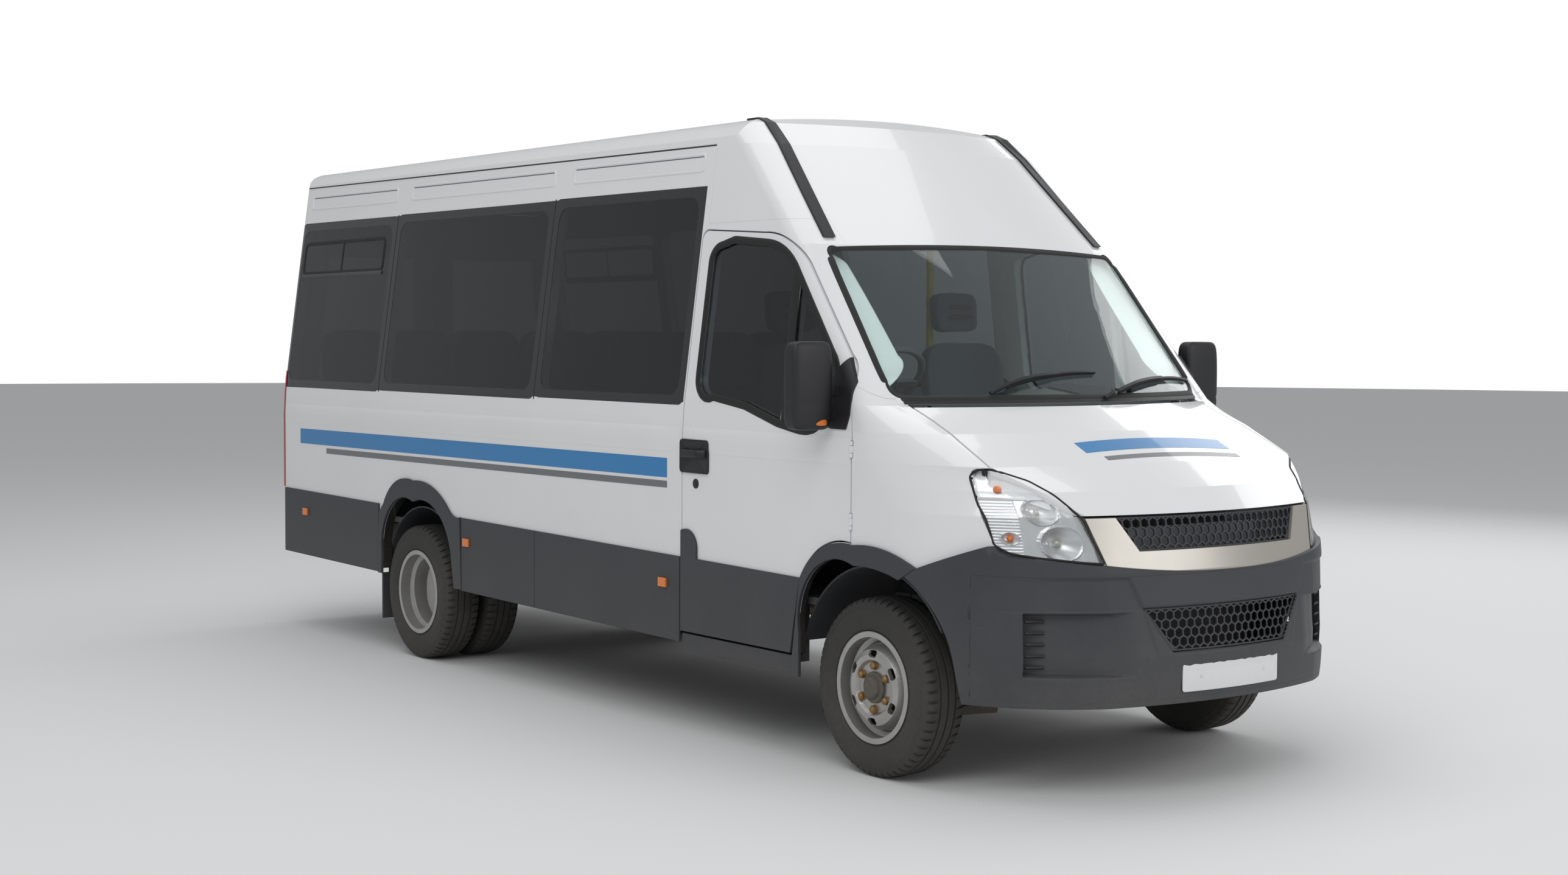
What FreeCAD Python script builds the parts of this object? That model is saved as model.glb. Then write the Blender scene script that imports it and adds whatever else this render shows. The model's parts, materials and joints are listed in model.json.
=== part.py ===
import FreeCAD, Part
import math
import os
from FreeCAD import Vector

os.makedirs("parts", exist_ok=True)

# High-roof minibus with twin rear wheels. Millimetres, +X forward, +Y left, +Z up.
# The origin lies on the ground under the middle of the vehicle's length.

# Overall sizes
LENGTH = 6500.0
WHEELBASE = 3750.0
FRONT_OVERHANG = 1000.0
HALF_WIDTH = 988.0
FRONT_AXLE = LENGTH / 2 - FRONT_OVERHANG
REAR_AXLE = FRONT_AXLE - WHEELBASE
BODY_REAR = -LENGTH / 2 + 20.0
ROOF_TOP = 2664.0
GUTTER_Z = 2530.0

# Sheet and panel thicknesses, and gaps
WALL = 50.0
WING_WALL = 25.0
GAP = 6.0
GLASS = 6.0
GLASS_INSET = 4.0
SKIN = 10.0
PANE = 5.0
FRAME_LAP = 42.0
BONNET_T = 14.0
BONNET_GAP = 9.0

# Wheels: 195/75 R16 tyres on six-stud rims
TYRE_R = 349.5
TYRE_W = 195.0
TYRE_SIDES = 40
RIM_SIDES = 48
TREAD_INSIDE_R = 328.0
TYRE_FIT = 0.05
BEAD_R = 203.0
BEAD_HALF = 82.0
FLANGE_R = 218.5
RIM_HALF = 92.0
RIM_T = 7.0
BARREL_R = 196.0
WELL_R = 175.0
FRONT_TRACK = 1706.0
REAR_TRACK = 1542.0
TWIN_SPACING = 234.0
KINGPIN_Y = 715.0

# Levels
FLOOR_Z = 720.0
FLOOR_T = 30.0
CAB_FLOOR_Z = 660.0
SILL_BOTTOM = 440.0
BONNET_FRONT_Z = 1052.0
BONNET_REAR_Z = 1438.0

# Body sections, x measured from the front axle:
# height, nose x, corner x, corner y, start of the straight side x, half width there, inset slope
SECTIONS = [
    (300, 955, 885, 560, 200, 988, 1.0),
    (850, 966, 886, 568, 200, 988, 1.0),
    (1050, 913, 812, 617, 150, 988, 1.1),
    (1140, 800, 690, 725, 80, 988, 2.0),
    (1227, 640, 536, 831, 0, 988, 2.2),
    (1340, 420, 290, 842, -50, 983, 2.2),
    (1440, 205, 18, 849, -100, 974, 1.7),
    (2080, -425, -505, 797, -620, 888, 1.4),
    (2520, -860, -950, 690, -1060, 828, 1.4),
    (2620, -980, -1075, 650, -1190, 812, 1.6),
    (2720, -1250, -1350, 600, -1460, 800, 2.0),
]
REAR_CORNER_R = 70.0

FAR = 4000.0
FLAT = 1e-4
SEW = 1e-3
MID = math.sqrt(0.5)


def path(points, place):
    """A closed wire. A point is (u, v) for a line's end or (mu, mv, u, v) for an arc through its middle."""
    edges = []
    here = points[0]
    for step in list(points[1:]) + [points[0][-2:]]:
        end = step[-2:]
        if len(step) == 4:
            edges.append(Part.Arc(place(*here), place(*step[:2]), place(*end)).toShape())
        elif (Vector(*here, 0) - Vector(*end, 0)).Length > 1e-6:
            edges.append(Part.LineSegment(place(*here), place(*end)).toShape())
        here = end
    return Part.Wire(edges)


def side_prism(points, y0, y1):
    """Extrudes an (x, z) outline from y0 to y1."""
    face = Part.Face(path(points, lambda u, v: Vector(u, y0, v)))
    return face.extrude(Vector(0, y1 - y0, 0))


def front_prism(points, x0, x1):
    """Extrudes a (y, z) outline from x0 to x1."""
    face = Part.Face(path(points, lambda u, v: Vector(x0, u, v)))
    return face.extrude(Vector(x1 - x0, 0, 0))


def plan_prism(points, z0, z1):
    """Extrudes an (x, y) outline from z0 to z1."""
    face = Part.Face(path(points, lambda u, v: Vector(u, v, z0)))
    return face.extrude(Vector(0, 0, z1 - z0))


def box(x0, x1, y0, y1, z0, z1):
    return Part.makeBox(x1 - x0, y1 - y0, z1 - z0, Vector(x0, y0, z0))


def rounded(u0, u1, v0, v1, r):
    """An outline of a rectangle with rounded corners."""
    k = r * (1 - MID)
    return [(u0 + r, v0), (u1 - r, v0), (u1 - k, v0 + k, u1, v0 + r), (u1, v1 - r),
            (u1 - k, v1 - k, u1 - r, v1), (u0 + r, v1), (u0 + k, v1 - k, u0, v1 - r), (u0, v0 + r),
            (u0 + k, v0 + k, u0 + r, v0)]


def mirrored(shape):
    return shape.mirror(Vector(0, 0, 0), Vector(0, 1, 0))


def pair(shape):
    """A right-hand piece and its mirror image on the left."""
    return [shape, mirrored(shape)]


def export(name, *shapes):
    solids = [s for shape in shapes for s in shape.Solids]
    shape = solids[0] if len(solids) == 1 else Part.makeCompound(solids)
    shape.exportStep("parts/%s.step" % name)


def body_section(level, inset):
    """One closed level section of the body form, moved in by the inset."""
    z, nose, cx, cy, sx, w, lean = level
    dx = inset * lean
    nose, cx, sx = (FRONT_AXLE + v - dx for v in (nose, cx, sx))
    w -= inset
    cy -= inset
    # The side arc meets the straight side smoothly
    r = ((cx - sx) ** 2 + (w - cy) ** 2) / (2 * (w - cy))
    start = math.atan2(cy - (w - r), cx - sx)
    half = (start + math.pi / 2) / 2
    mx, my = sx + r * math.cos(half), w - r + r * math.sin(half)
    rear = BODY_REAR + inset
    rc = REAR_CORNER_R
    k = rc * (1 - MID)
    points = [(cx, -cy), (nose, 0, cx, cy), (mx, my, sx, w), (rear + rc, w), (rear + k, w - k, rear, w - rc),
              (rear, -w + rc), (rear + k, -w + k, rear + rc, -w), (sx, -w), (mx, -my, cx, -cy)]
    return path(points, lambda x, y: Vector(x, y, z))


def roof_crown(inset):
    """The roof's cross section along the whole body."""
    top, edge = ROOF_TOP - inset, GUTTER_Z - inset
    points = [(-1200, 0), (-1200, edge - 30), (-840, edge - 5), (-775, edge + 75, -660, edge + 106),
              (0, top, 660, edge + 106), (775, edge + 75, 840, edge - 5), (1200, edge - 30), (1200, 0)]
    return front_prism(points, -FAR, FAR)


def flat_corners(face):
    """The corners of a flat side of four straight edges, or None for any other face."""
    corners = [v.Point for v in face.OuterWire.OrderedVertexes]
    if len(corners) != 4:
        return None
    middles = [(corners[i] + corners[(i + 1) % 4]) * 0.5 for i in range(4)]
    for edge in face.OuterWire.Edges:
        middle = edge.valueAt((edge.FirstParameter + edge.LastParameter) / 2)
        if min((middle - m).Length for m in middles) > FLAT:
            return None
    normal = (corners[1] - corners[0]).cross(corners[2] - corners[0]).normalize()
    return corners if abs((corners[3] - corners[0]).dot(normal)) < FLAT else None


def section_loft(sections, inset):
    """A straight loft through level sections, with its flat sides as true planes."""
    loft = Part.makeLoft([body_section(level, inset) for level in sections], True, True)
    faces = []
    for face in loft.Faces:
        corners = None if isinstance(face.Surface, Part.Plane) else flat_corners(face)
        faces.append(Part.Face(Part.makePolygon(corners + corners[:1])) if corners else face)
    sewn = Part.makeCompound(faces)
    sewn.sewShape(SEW)
    return Part.Solid(sewn.Shells[0] if sewn.ShapeType != "Shell" else sewn)


def form(inset):
    """The body's solid form, moved in by the inset."""
    return section_loft(SECTIONS, inset).common(roof_crown(inset))


# Outlines in the side view, (x, z), right side

DOOR_REAR = 993.0
DOOR_FRONT = 2172.0
DOOR_TOP = 2161.0
DOOR_BOTTOM = 432.0


def door_outline(g):
    """The front door's edge, moved in by g."""
    rear, front, top = DOOR_REAR + g, DOOR_FRONT - g, DOOR_TOP - g
    return [(rear, DOOR_BOTTOM), (rear, top - 40), (rear + 12, top - 12, rear + 40, top), (1455, 2137 - g),
            (1645 - g, 2092 - g, 1767 - g, 1998 - g), (2079 - g, 1635 - g),
            (2125 - g, 1575 - g, 2142 - g, 1520), (front, 1320), (front, 903 + g),
            (1975 - g, 865 + g, 1857 - g, 742 + g), (1797 - g, DOOR_BOTTOM)]


DOOR_WINDOW = [(1089, 1540), (1089, 2010), (1105, 2060, 1150, 2080), (1238, 2100), (1480, 2080),
               (1590, 2050, 1680, 1985), (1985, 1635), (2025, 1580, 2030, 1480), (1960, 1370, 1830, 1340),
               (1679, 1364), (1441, 1427), (1210, 1457), (1110, 1475, 1089, 1540)]

FRONT_ARCH = [(1852, 200), (1852, 520), (1915, 755, 2200, 822), (2560, 775, 2735, 520), (2795, 200)]
FRONT_FLARE = [(1797, 344), (1857, 742), (1975, 862, 2180, 900), (2380, 897, 2560, 842), (2472, 792),
               (2350, 818, 2200, 822), (1915, 755, 1852, 520), (1852, 344)]
REAR_ARCH = [(-1900, 200), (-1880, 520), (-1790, 770, -1515, 824), (-1190, 750, -1085, 540), (-1020, 200)]
REAR_FLARE = [(-1925, 414), (-1912, 740), (-1857, 793), (-1740, 905, -1530, 933), (-1290, 905, -1130, 810),
              (-1060, 775, -1000, 778), (-985, 412)]

# Lower edge of the white body over the front bumper, and of the bumper's top
BUMPER_TOP = [(2472, 792), (2560, 842), (2852, 945), (2900, 912, 2981, 903), (3130, 878), (3216, 842), (3400, 842)]
BUMPER_BOTTOM = 357.0
LAMP = [(2751, 1222), (2795, 1225), (2940, 1160, 3065, 1045), (3110, 965, 3130, 878), (2981, 903),
        (2900, 912, 2852, 945), (2772, 1100), (2727, 1189), (2730, 1213, 2751, 1222)]
BONNET_PLAN = [(2200, 803), (2426, 803), (2611, 819), (2783, 830), (2930, 730, 3065, 615), (3400, 615)]
CELL_PITCH = 38.0
CELL_WEB = 6.0
GRILLE = [(-613, 1060), (-559, 878), (-520, 780), (520, 780), (559, 878), (613, 1060)]
GRILLE_OPENING = [(-497, 1060), (-416, 925), (416, 925), (497, 1060)]
LOWER_OPENING = [(-418, 715), (-301, 555), (301, 555), (418, 715)]
WINDSCREEN = [(-790, 1470), (790, 1470), (836, 1478, 842, 1530), (801, 2020), (795, 2062, 750, 2070),
              (0, 2090, -750, 2070), (-795, 2062, -801, 2020), (-842, 1530), (-836, 1478, -790, 1470)]

# Bonded side windows: rear x, front x, bottom z, top z
SIDE_WINDOWS = [
    (-3185, -1962, 1388, 2338),
    (-1954, -297, 1395, 2343),
    (-289, 985, 1405, 2350),
]
GLASS_R = 40.0
# Sliding door on the left side
SLIDE_REAR = -297.0
SLIDE_FRONT = 960.0
SLIDE_TOP = 2400.0

# Rear doors
REAR_DOOR_Y = 900.0
REAR_DOOR_TOP = 2440.0
REAR_DOOR_BOTTOM = 640.0

# Side cladding panels: rear x, front x
CLADDING = [(-3150, -1925), (-985, -253), (-249, 991)]
CLADDING_SLOPE = -0.0116


def cladding_top(x):
    return 764 + CLADDING_SLOPE * x


def cladding_bottom(x):
    return 396 + CLADDING_SLOPE * x


forms = {}
skins = {}


def cached_form(inset):
    if inset not in forms:
        forms[inset] = form(inset)
    return forms[inset]


def skin(outer, inner):
    """The layer of the form between two insets."""
    if (outer, inner) not in skins:
        skins[outer, inner] = cached_form(outer).cut(cached_form(inner))
    return skins[outer, inner]


def level_prism(level, inset, z0, z1):
    """The level section's plan outline, extruded from z0 to z1."""
    face = Part.Face(body_section((z0,) + level[1:], inset))
    return face.extrude(Vector(0, 0, z1 - z0))


def bonnet_region(g):
    right = [(x, g - y) for x, y in BONNET_PLAN[:4]]
    mx, my, x, y = BONNET_PLAN[4]
    right.append((mx, g - my, x - g, g - y))
    right.append((3400, g - y))
    left = [(3400, y - g), (x - g, y - g), (mx, my - g, 2783, 830 - g), (2611, 819 - g), (2426, 803 - g), (2200, 803 - g)]
    return plan_prism(right + left, BONNET_FRONT_Z + g / 2, BONNET_REAR_Z)


def bumper_region():
    below = [(2472, 100), (2472, 792)] + BUMPER_TOP[1:] + [(3400, 100)]
    return side_prism(below, -1100, 1100)


def both_sides(points, y0=600, y1=1100):
    """A side outline cut through both flanks."""
    return [side_prism(points, -y1, -y0), side_prism(points, y0, y1)]


def cut_all(shape, tools):
    for tool in tools:
        for solid in tool.Solids:
            shape = shape.cut(solid)
    return shape


def window_prism(row, g, y0, y1):
    x0, x1, z0, z1 = row
    return side_prism(rounded(x0 + g, x1 - g, z0 + g, z1 - g, GLASS_R), y0, y1)

# White body

FRONT_END = [(1780, 300), (1780, 760), (2168, 960), (2168, 1320), (2138, 1520), (2290, 1444), (3400, 1444),
             (3400, 300)]
SCUTTLE_Z = (BONNET_REAR_Z + GAP, 1470)
SCUTTLE_Y = 838.0
HEADER_Z = 2185.0
GUTTER_FRONT = 1029.0
BELOW = box(-FAR, FAR, -1300, 1300, 0, SILL_BOTTOM)

# Rear door edge, (y, z) from the middle outwards
REAR_DOOR = [(0, REAR_DOOR_BOTTOM), (900, REAR_DOOR_BOTTOM), (900, 1227), (886, 1440), (800, 2080),
             (757, 2390), (748, 2432, 700, REAR_DOOR_TOP), (0, REAR_DOOR_TOP + 5)]
REAR_PANE = [(110, 1400), (780, 1400), (797, 1405, 800, 1440), (722, 2150), (715, 2180, 680, 2185),
             (110, 2185), (90, 2180, 85, 2160), (85, 1425), (90, 1405, 110, 1400)]


def shrink_y(points, g):
    """Moves an outline (y, z) of the right half in by g on all its sides."""
    zs = [p[-1] for p in points]
    ys = [p[-2] for p in points]
    z0, z1, y0, y1 = min(zs), max(zs), min(ys), max(ys)
    sy, sz = (y1 - y0 - 2 * g) / (y1 - y0), (z1 - z0 - 2 * g) / (z1 - z0)
    out = []
    for p in points:
        out.append(tuple((y0 + g + (v - y0) * sy) if i % 2 == 0 else (z0 + g + (v - z0) * sz)
                         for i, v in enumerate(p)))
    return out


def right_half(points):
    return [tuple(-v if i % 2 == 0 else v for i, v in enumerate(p)) for p in points]


def rear_prism(points, g):
    return front_prism(right_half(shrink_y(points, g)), -3400, BODY_REAR + WALL + 20)


def slide_prism(g):
    return side_prism(rounded(SLIDE_REAR + g, SLIDE_FRONT - g, SILL_BOTTOM - 60, SLIDE_TOP - g, 60), 600, 1100)


def left_windows():
    (r0, f0, a0, b0), (r1, f1, a1, b1), (r2, f2, a2, b2) = SIDE_WINDOWS
    return [(r0, f0, a0, b0), (r1, SLIDE_REAR - 14, a1, b1), (SLIDE_REAR + 16, SLIDE_FRONT - 16, a2, b2)]


SHELL = skin(0, WALL).cut(BELOW)
FRONT_SKIN = skin(0, WING_WALL)
WINDSCREEN_PRISM = front_prism(WINDSCREEN, 1500, 2700)
DOOR_HOLES = both_sides(door_outline(0))
ARCHES = both_sides(FRONT_ARCH, 500) + both_sides(REAR_ARCH, 500)
LAMP_PRISMS = both_sides(LAMP, 480)
REAR_DOOR_HOLE = rear_prism(REAR_DOOR, 0)
REAR_DOOR_HOLES = [REAR_DOOR_HOLE, mirrored(REAR_DOOR_HOLE)]
ROOF_REGION = [box(-FAR, FAR, -1300, 1300, GUTTER_Z, 3000), box(GUTTER_FRONT, FAR, -1300, 1300, HEADER_Z, 3000),
               box(1300, FAR, -700, 700, 2050, HEADER_Z + 1),
               box(-FAR, BODY_REAR + WALL + 1, -745, 745, REAR_DOOR_TOP, GUTTER_Z + 1)]
FRONT_REGION = side_prism(FRONT_END, -1300, 1300)
SCUTTLE_BOX = box(2100, 2600, -SCUTTLE_Y, SCUTTLE_Y, *SCUTTLE_Z)
REAR_SILL = box(-FAR, BODY_REAR + WALL + 1, -900, 900, 0, REAR_DOOR_BOTTOM)


def union(shapes):
    out = shapes[0]
    for shape in shapes[1:]:
        out = out.fuse(shape)
    return out


def glaze(panel, rows, y0, y1):
    """Cuts each window's through hole and the rebate that its pane sits in; gives the panel and the panes."""
    panes = []
    for row in rows:
        rebate = window_prism(row, 0, y0, y1)
        panes.append(skin(0, PANE).common(rebate))
        panel = panel.cut(rebate.cut(cached_form(PANE)))
        panel = panel.cut(window_prism(row, FRAME_LAP, y0, y1))
    return panel, panes


def body_sides():
    side = SHELL.common(box(-FAR, FAR, -1300, 0, 0, 3000))
    side = cut_all(side, ROOF_REGION + [FRONT_REGION, SCUTTLE_BOX, WINDSCREEN_PRISM, DOOR_HOLES[0], REAR_DOOR_HOLE,
                                        REAR_SILL, ARCHES[2]])
    side = max(side.Solids, key=lambda s: s.Volume)
    left = mirrored(side)
    right, right_panes = glaze(side, SIDE_WINDOWS, -1100, -600)
    left = left.cut(slide_prism(0))
    rows = left_windows()
    left, left_panes = glaze(left, rows[:2], 600, 1100)
    slide = SHELL.common(slide_prism(GAP / 2))
    slide, slide_panes = glaze(slide, rows[2:], 600, 1100)
    return right, left, slide, right_panes + left_panes + slide_panes


def roof():
    shell = SHELL.common(union(ROOF_REGION))
    return cut_all(shell, [WINDSCREEN_PRISM] + DOOR_HOLES + REAR_DOOR_HOLES)


def front_wings():
    wing = FRONT_SKIN.common(FRONT_REGION).cut(BELOW).common(box(0, FAR, -1300, 0, 0, 3000))
    grille = front_prism(GRILLE, 2800, 3400)
    wing = cut_all(wing, [bonnet_region(0), bumper_region(), grille, DOOR_HOLES[0], SCUTTLE_BOX,
                          ARCHES[0], LAMP_PRISMS[0], WINDSCREEN_PRISM, box(2900, 3400, -613, 613, 0, BONNET_FRONT_Z),
                          box(2000, 2700, -803, 803, 1300, 1500)])
    wing = max(wing.Solids, key=lambda s: s.Volume)
    return pair(wing)


def windscreen():
    return skin(GLASS_INSET, GLASS_INSET + GLASS).common(WINDSCREEN_PRISM)


BONNET_AXIS = (2275.0, 1425.0)
BONNET_ARM_Y = (705.0, 717.0)
BONNET_ARM = [(2263, 1437), (2263, 1420), (2290, 1358), (2392, 1358), (2392, 1440), (2352, 1440), (2352, 1384),
              (2306, 1384), (2287, 1430), (2287, 1437)]
BONNET_BRACKET = [(2250, 1340), (2275, 1340), (2290, 1408), (2290, 1437), (2260, 1437), (2250, 1400)]
BONNET_BRACKET_Y = (688.0, 703.0)
BONNET_PIN_R = 6.0
PIN_PLAY = 0.08

# Barrel hinges: pin, barrel and clearance radii, half height of the middle knuckle, half height of the hinge
DOOR_HINGE = (4.0, 8.0, 10.0, 14.0, 32.0)
DOOR_AXIS = (2169.0, -989.0)
DOOR_HINGE_Z = (990.0, 1270.0)
REAR_HINGE = (5.0, 9.0, 11.0, 18.0, 42.0)
REAR_AXIS = (-3241.0, -905.0)
REAR_HINGE_Z = (730.0, 1190.0, 1560.0)


def upright(x, y, z, r, half):
    """A vertical cylinder with its middle at z."""
    return Part.makeCylinder(r, 2 * half, Vector(x, y, z - half))


def hinge(axis, z, sizes, body_leaf, door_leaf):
    """A barrel hinge: the body's knuckle and leaf, the door's two knuckles, leaf and pin, and the space they need."""
    pin, barrel, clear, middle, half = sizes
    x, y = axis
    gap = 1.0
    bore = upright(x, y, z, pin + PIN_PLAY, half)
    fixed = upright(x, y, z, barrel, middle).fuse(box(*body_leaf, z - middle, z + middle)).cut(bore)
    moving = []
    for low, high in ((z - half, z - middle - gap), (z + middle + gap, z + half)):
        moving.append(Part.makeCylinder(barrel, high - low, Vector(x, y, low)))
        for leaf in door_leaf:
            moving.append(box(*leaf, low, high))
    moving.append(upright(x, y, z, pin, half))
    return fixed, union(moving), upright(x, y, z, clear, half + gap)


def hinge_set(axis, levels, sizes, body_leaf, door_leaf, fixed, moving):
    """Adds hinges to a fixed and a moving panel."""
    for z in levels:
        body_side, door_side, space = hinge(axis, z, sizes, body_leaf, door_leaf)
        fixed = fixed.cut(space).fuse(body_side)
        moving = moving.cut(space).fuse(door_side)
    return fixed, moving


# Front doors

GLASS_DEPTH = 8.0
QUARTER_BAR = (1697.0, 1727.0)
DOOR_CLADDING_BOTTOM = 434.0
MIRROR_HEAD = (-1192.0, -1004.0, 1340.0, 1689.0)
MIRROR_X = (1993.0, 2078.0)
MIRROR_ARMS = [(1385, 1425), (1475, 1515)]
MIRROR_BASE = [(1880, 1380), (2040, 1345), (2130, 1345), (2148, 1400), (2148, 1530), (2085, 1625)]


def front_door():
    flank = SHELL.common(box(500, 2500, -1300, -600, 300, 2500))
    panel = flank.common(side_prism(door_outline(GAP), -1200, -600))
    hole = side_prism(DOOR_WINDOW, -1200, -600)
    bar = box(*QUARTER_BAR, -1200, -600, 1200, 2200)
    panel = cut_all(panel, [hole.cut(bar)])
    panel = max(panel.Solids, key=lambda s: s.Volume)
    glass = skin(GLASS_DEPTH, GLASS_DEPTH + GLASS).common(hole).cut(bar)
    return panel, glass


def door_cladding():
    """Lower trim of the front door with the tab beside its rear edge."""
    rear, front = DOOR_REAR + GAP, 1857 - GAP
    outline = [(rear, DOOR_CLADDING_BOTTOM), (rear, 868), (rear + 70, 868, rear + 118, 800), (rear + 118, 752),
               (front, 742), (1797 - GAP, DOOR_CLADDING_BOTTOM)]
    return skin(-SKIN, 0).common(side_prism(outline, -1200, -600))


def door_mirror():
    """Tall mirror head on two arms with the triangular base on the door."""
    y0, y1, z0, z1 = MIRROR_HEAD
    pieces = [front_prism(rounded(y0, y1, z0, z1, 55), *MIRROR_X)]
    for low, high in MIRROR_ARMS:
        pieces.append(box(2010, 2060, -1010, -900, low, high).cut(cached_form(0)))
    base = side_prism(MIRROR_BASE, -1010, -600)
    pieces.append(skin(-6, 0).common(base))
    return union(pieces)


# Rear doors

def rear_door():
    panel = SHELL.common(rear_prism(REAR_DOOR, GAP / 2))
    pane = rear_prism(REAR_PANE, 0)
    glass = skin(0, PANE).common(pane)
    panel = panel.cut(pane.cut(cached_form(PANE))).cut(rear_prism(REAR_PANE, 35))
    return panel, glass


def bonnet():
    """The bonnet with a gooseneck arm and pin near each rear corner."""
    lid = skin(0, BONNET_T).common(bonnet_region(BONNET_GAP))
    lid = lid.cut(level_prism(SCUTTLE_LEVEL, -BONNET_GAP, 1300, 1500))
    lid = max(lid.Solids, key=lambda s: s.Volume)
    x, z = BONNET_AXIS
    y0, y1 = BONNET_ARM_Y
    arm = side_prism(BONNET_ARM, y0, y1).common(cached_form(3))
    pin = Part.makeCylinder(BONNET_PIN_R, y1 - BONNET_BRACKET_Y[0], Vector(x, BONNET_BRACKET_Y[0], z), Vector(0, 1, 0))
    return union([lid] + pair(arm) + pair(pin))


def bonnet_bracket():
    x, z = BONNET_AXIS
    y0, y1 = BONNET_BRACKET_Y
    bore = Part.makeCylinder(BONNET_PIN_R + PIN_PLAY, y1 - y0, Vector(x, y0, z), Vector(0, 1, 0))
    return side_prism(BONNET_BRACKET, y0, y1).cut(bore)


SCUTTLE_LEVEL = SECTIONS[6]
right_side, left_side, sliding_door, side_panes = body_sides()
door_panel, door_pane = front_door()
rear_panel, rear_pane = rear_door()
wings = front_wings()
x, y = DOOR_AXIS
wing, door_panel = hinge_set(DOOR_AXIS, DOOR_HINGE_Z, DOOR_HINGE, (x, x + 14, y + 2, y + 7),
                             [(x - 14, x, y + 2, y + 7)], wings[0], door_panel)
x, y = REAR_AXIS
body_leaf = (x, x + 14, y - 11, y + 4)
door_leaf = [(x + 2, x + 9, y, y + 65), (x + 8, x + 16, y + 45, y + 65)]
right_side, rear_panel_right = hinge_set(REAR_AXIS, REAR_HINGE_Z, REAR_HINGE, body_leaf, door_leaf, right_side, rear_panel)
left_side = mirrored(left_side)
left_side, rear_panel_left = hinge_set(REAR_AXIS, REAR_HINGE_Z, REAR_HINGE, body_leaf, door_leaf, left_side, rear_panel)
left_side = mirrored(left_side)
SLIDE_PADS = [(945, 975, 700), (945, 975, 2340), (-312, -282, 1200)]
pads = [box(x0, x1, 940, 970, z - 20, z + 20).common(SHELL).cut(left_side) for x0, x1, z in SLIDE_PADS]

export("side_right", right_side)
export("side_left", left_side)
export("sliding_door", union([sliding_door] + pads))
export("side_glass", *side_panes)
export("roof", roof())
export("front_wings", *pair(wing))
export("windscreen", windscreen())
export("scuttle", FRONT_SKIN.common(SCUTTLE_BOX).cut(WINDSCREEN_PRISM))
export("bonnet", bonnet())
for tag, place in (("right", lambda s: s), ("left", mirrored)):
    export("door_%s" % tag, place(door_panel))
    export("door_glass_%s" % tag, place(door_pane))
    export("door_cladding_%s" % tag, place(door_cladding()))
    export("mirror_%s" % tag, place(door_mirror()))
export("rear_door_right", rear_panel_right)
export("rear_door_left", mirrored(rear_panel_left))
for tag, pane in zip(("right", "left"), pair(rear_pane)):
    export("rear_glass_%s" % tag, pane)


# Plastic outer trim

BUMPER_SECTIONS = [
    (300, 962, 890, 560, 240, 990, 1.0),
    (400, 988, 905, 560, 240, 996, 1.0),
    (540, 1000, 915, 560, 240, 998, 1.0),
    (700, 982, 905, 560, 240, 998, 1.0),
    (850, 972, 893, 568, 240, 998, 1.0),
    (980, 950, 862, 592, 240, 998, 1.0),
]
BUMPER_WALL = 35.0
BUMPER_REAR = 2465.0
FLARE_PROUD = 14.0
SILL_TRIM = [(1003, 350), (1003, 424), (1796, 424), (1796, 350)]
LENS_DEPTH = 2.0
LENS_T = 5.0
LAMP_DEPTH = 80.0
ROOF_BAR = [(-785, 2110), (-735, 2110), (-640, 2625), (-600, 2760), (-680, 2760), (-690, 2640)]
REAR_BUMPER_BOTTOM = 436.0
REAR_BUMPER_TOP = REAR_DOOR_BOTTOM - 10
TAIL_LAMP = [(-928, 806), (-1100, 806), (-1100, 1480), (-915, 1480)]
MARKERS = [(-2858, 678), (-929, 656), (866, 631)]


def bumper_form(inset):
    return section_loft(BUMPER_SECTIONS, inset)


def front_bumper():
    bumper = bumper_form(0).cut(bumper_form(BUMPER_WALL)).common(bumper_region())
    bumper = cut_all(bumper, ARCHES[:2] + [box(-FAR, FAR, -1300, 1300, 0, BUMPER_BOTTOM),
                                           box(-FAR, BUMPER_REAR, -1300, 1300, 0, 3000),
                                           front_prism(LOWER_OPENING, 2900, 3400)])
    return max(bumper.Solids, key=lambda s: s.Volume)


def honeycomb(sheet, low, high, half_low, half_high):
    """Cuts hexagonal cells into a sheet, over a (y, z) trapezium seen from the front, and leaves a rim round them."""
    middle = (low + high) / 2
    rim = [(-half_low, low), (half_low, low), (half_high, high), (-half_high, high)]
    shrunk = [(y - math.copysign(CELL_WEB, y) * 2, z - math.copysign(CELL_WEB, z - middle)) for y, z in rim]
    cells = []
    rise = CELL_PITCH * math.sqrt(3) / 2
    for row in range(int((high - low) / rise) + 2):
        for column in range(int(-half_high / CELL_PITCH) - 1, int(half_high / CELL_PITCH) + 2):
            y = (column + row % 2 / 2) * CELL_PITCH
            z = low + row * rise
            half_width = half_low + (half_high - half_low) * (z - low) / (high - low)
            if abs(y) > half_width + CELL_PITCH / 3:
                continue
            r = (CELL_PITCH - CELL_WEB) / math.sqrt(3)
            corners = [(y + r * math.sin(k * math.pi / 3), z + r * math.cos(k * math.pi / 3)) for k in range(6)]
            cells.append(front_prism(corners, 2900, 3400))
    return sheet.cut(Part.makeCompound(cells).common(front_prism(shrunk, 2900, 3400)))


def grille():
    region = front_prism(GRILLE, 2900, 3400).cut(bumper_region())
    region = region.common(box(2900, 3400, -1000, 1000, 0, BONNET_FRONT_Z - 4))
    opening = front_prism(GRILLE_OPENING, 2900, 3400)
    surround = skin(0, 22).common(region).cut(opening)
    _, _, (half_low, low), (half_high, _) = GRILLE_OPENING
    mesh = honeycomb(skin(10, 18).common(region).common(opening), low, BONNET_FRONT_Z - 4, half_low, half_high)
    lower = bumper_form(10).cut(bumper_form(16)).common(front_prism(LOWER_OPENING, 2900, 3400))
    (_, high), (_, low), (half_low, _), (half_high, _) = LOWER_OPENING
    return surround, [mesh, honeycomb(lower, low, high, half_low, half_high)]


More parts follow.
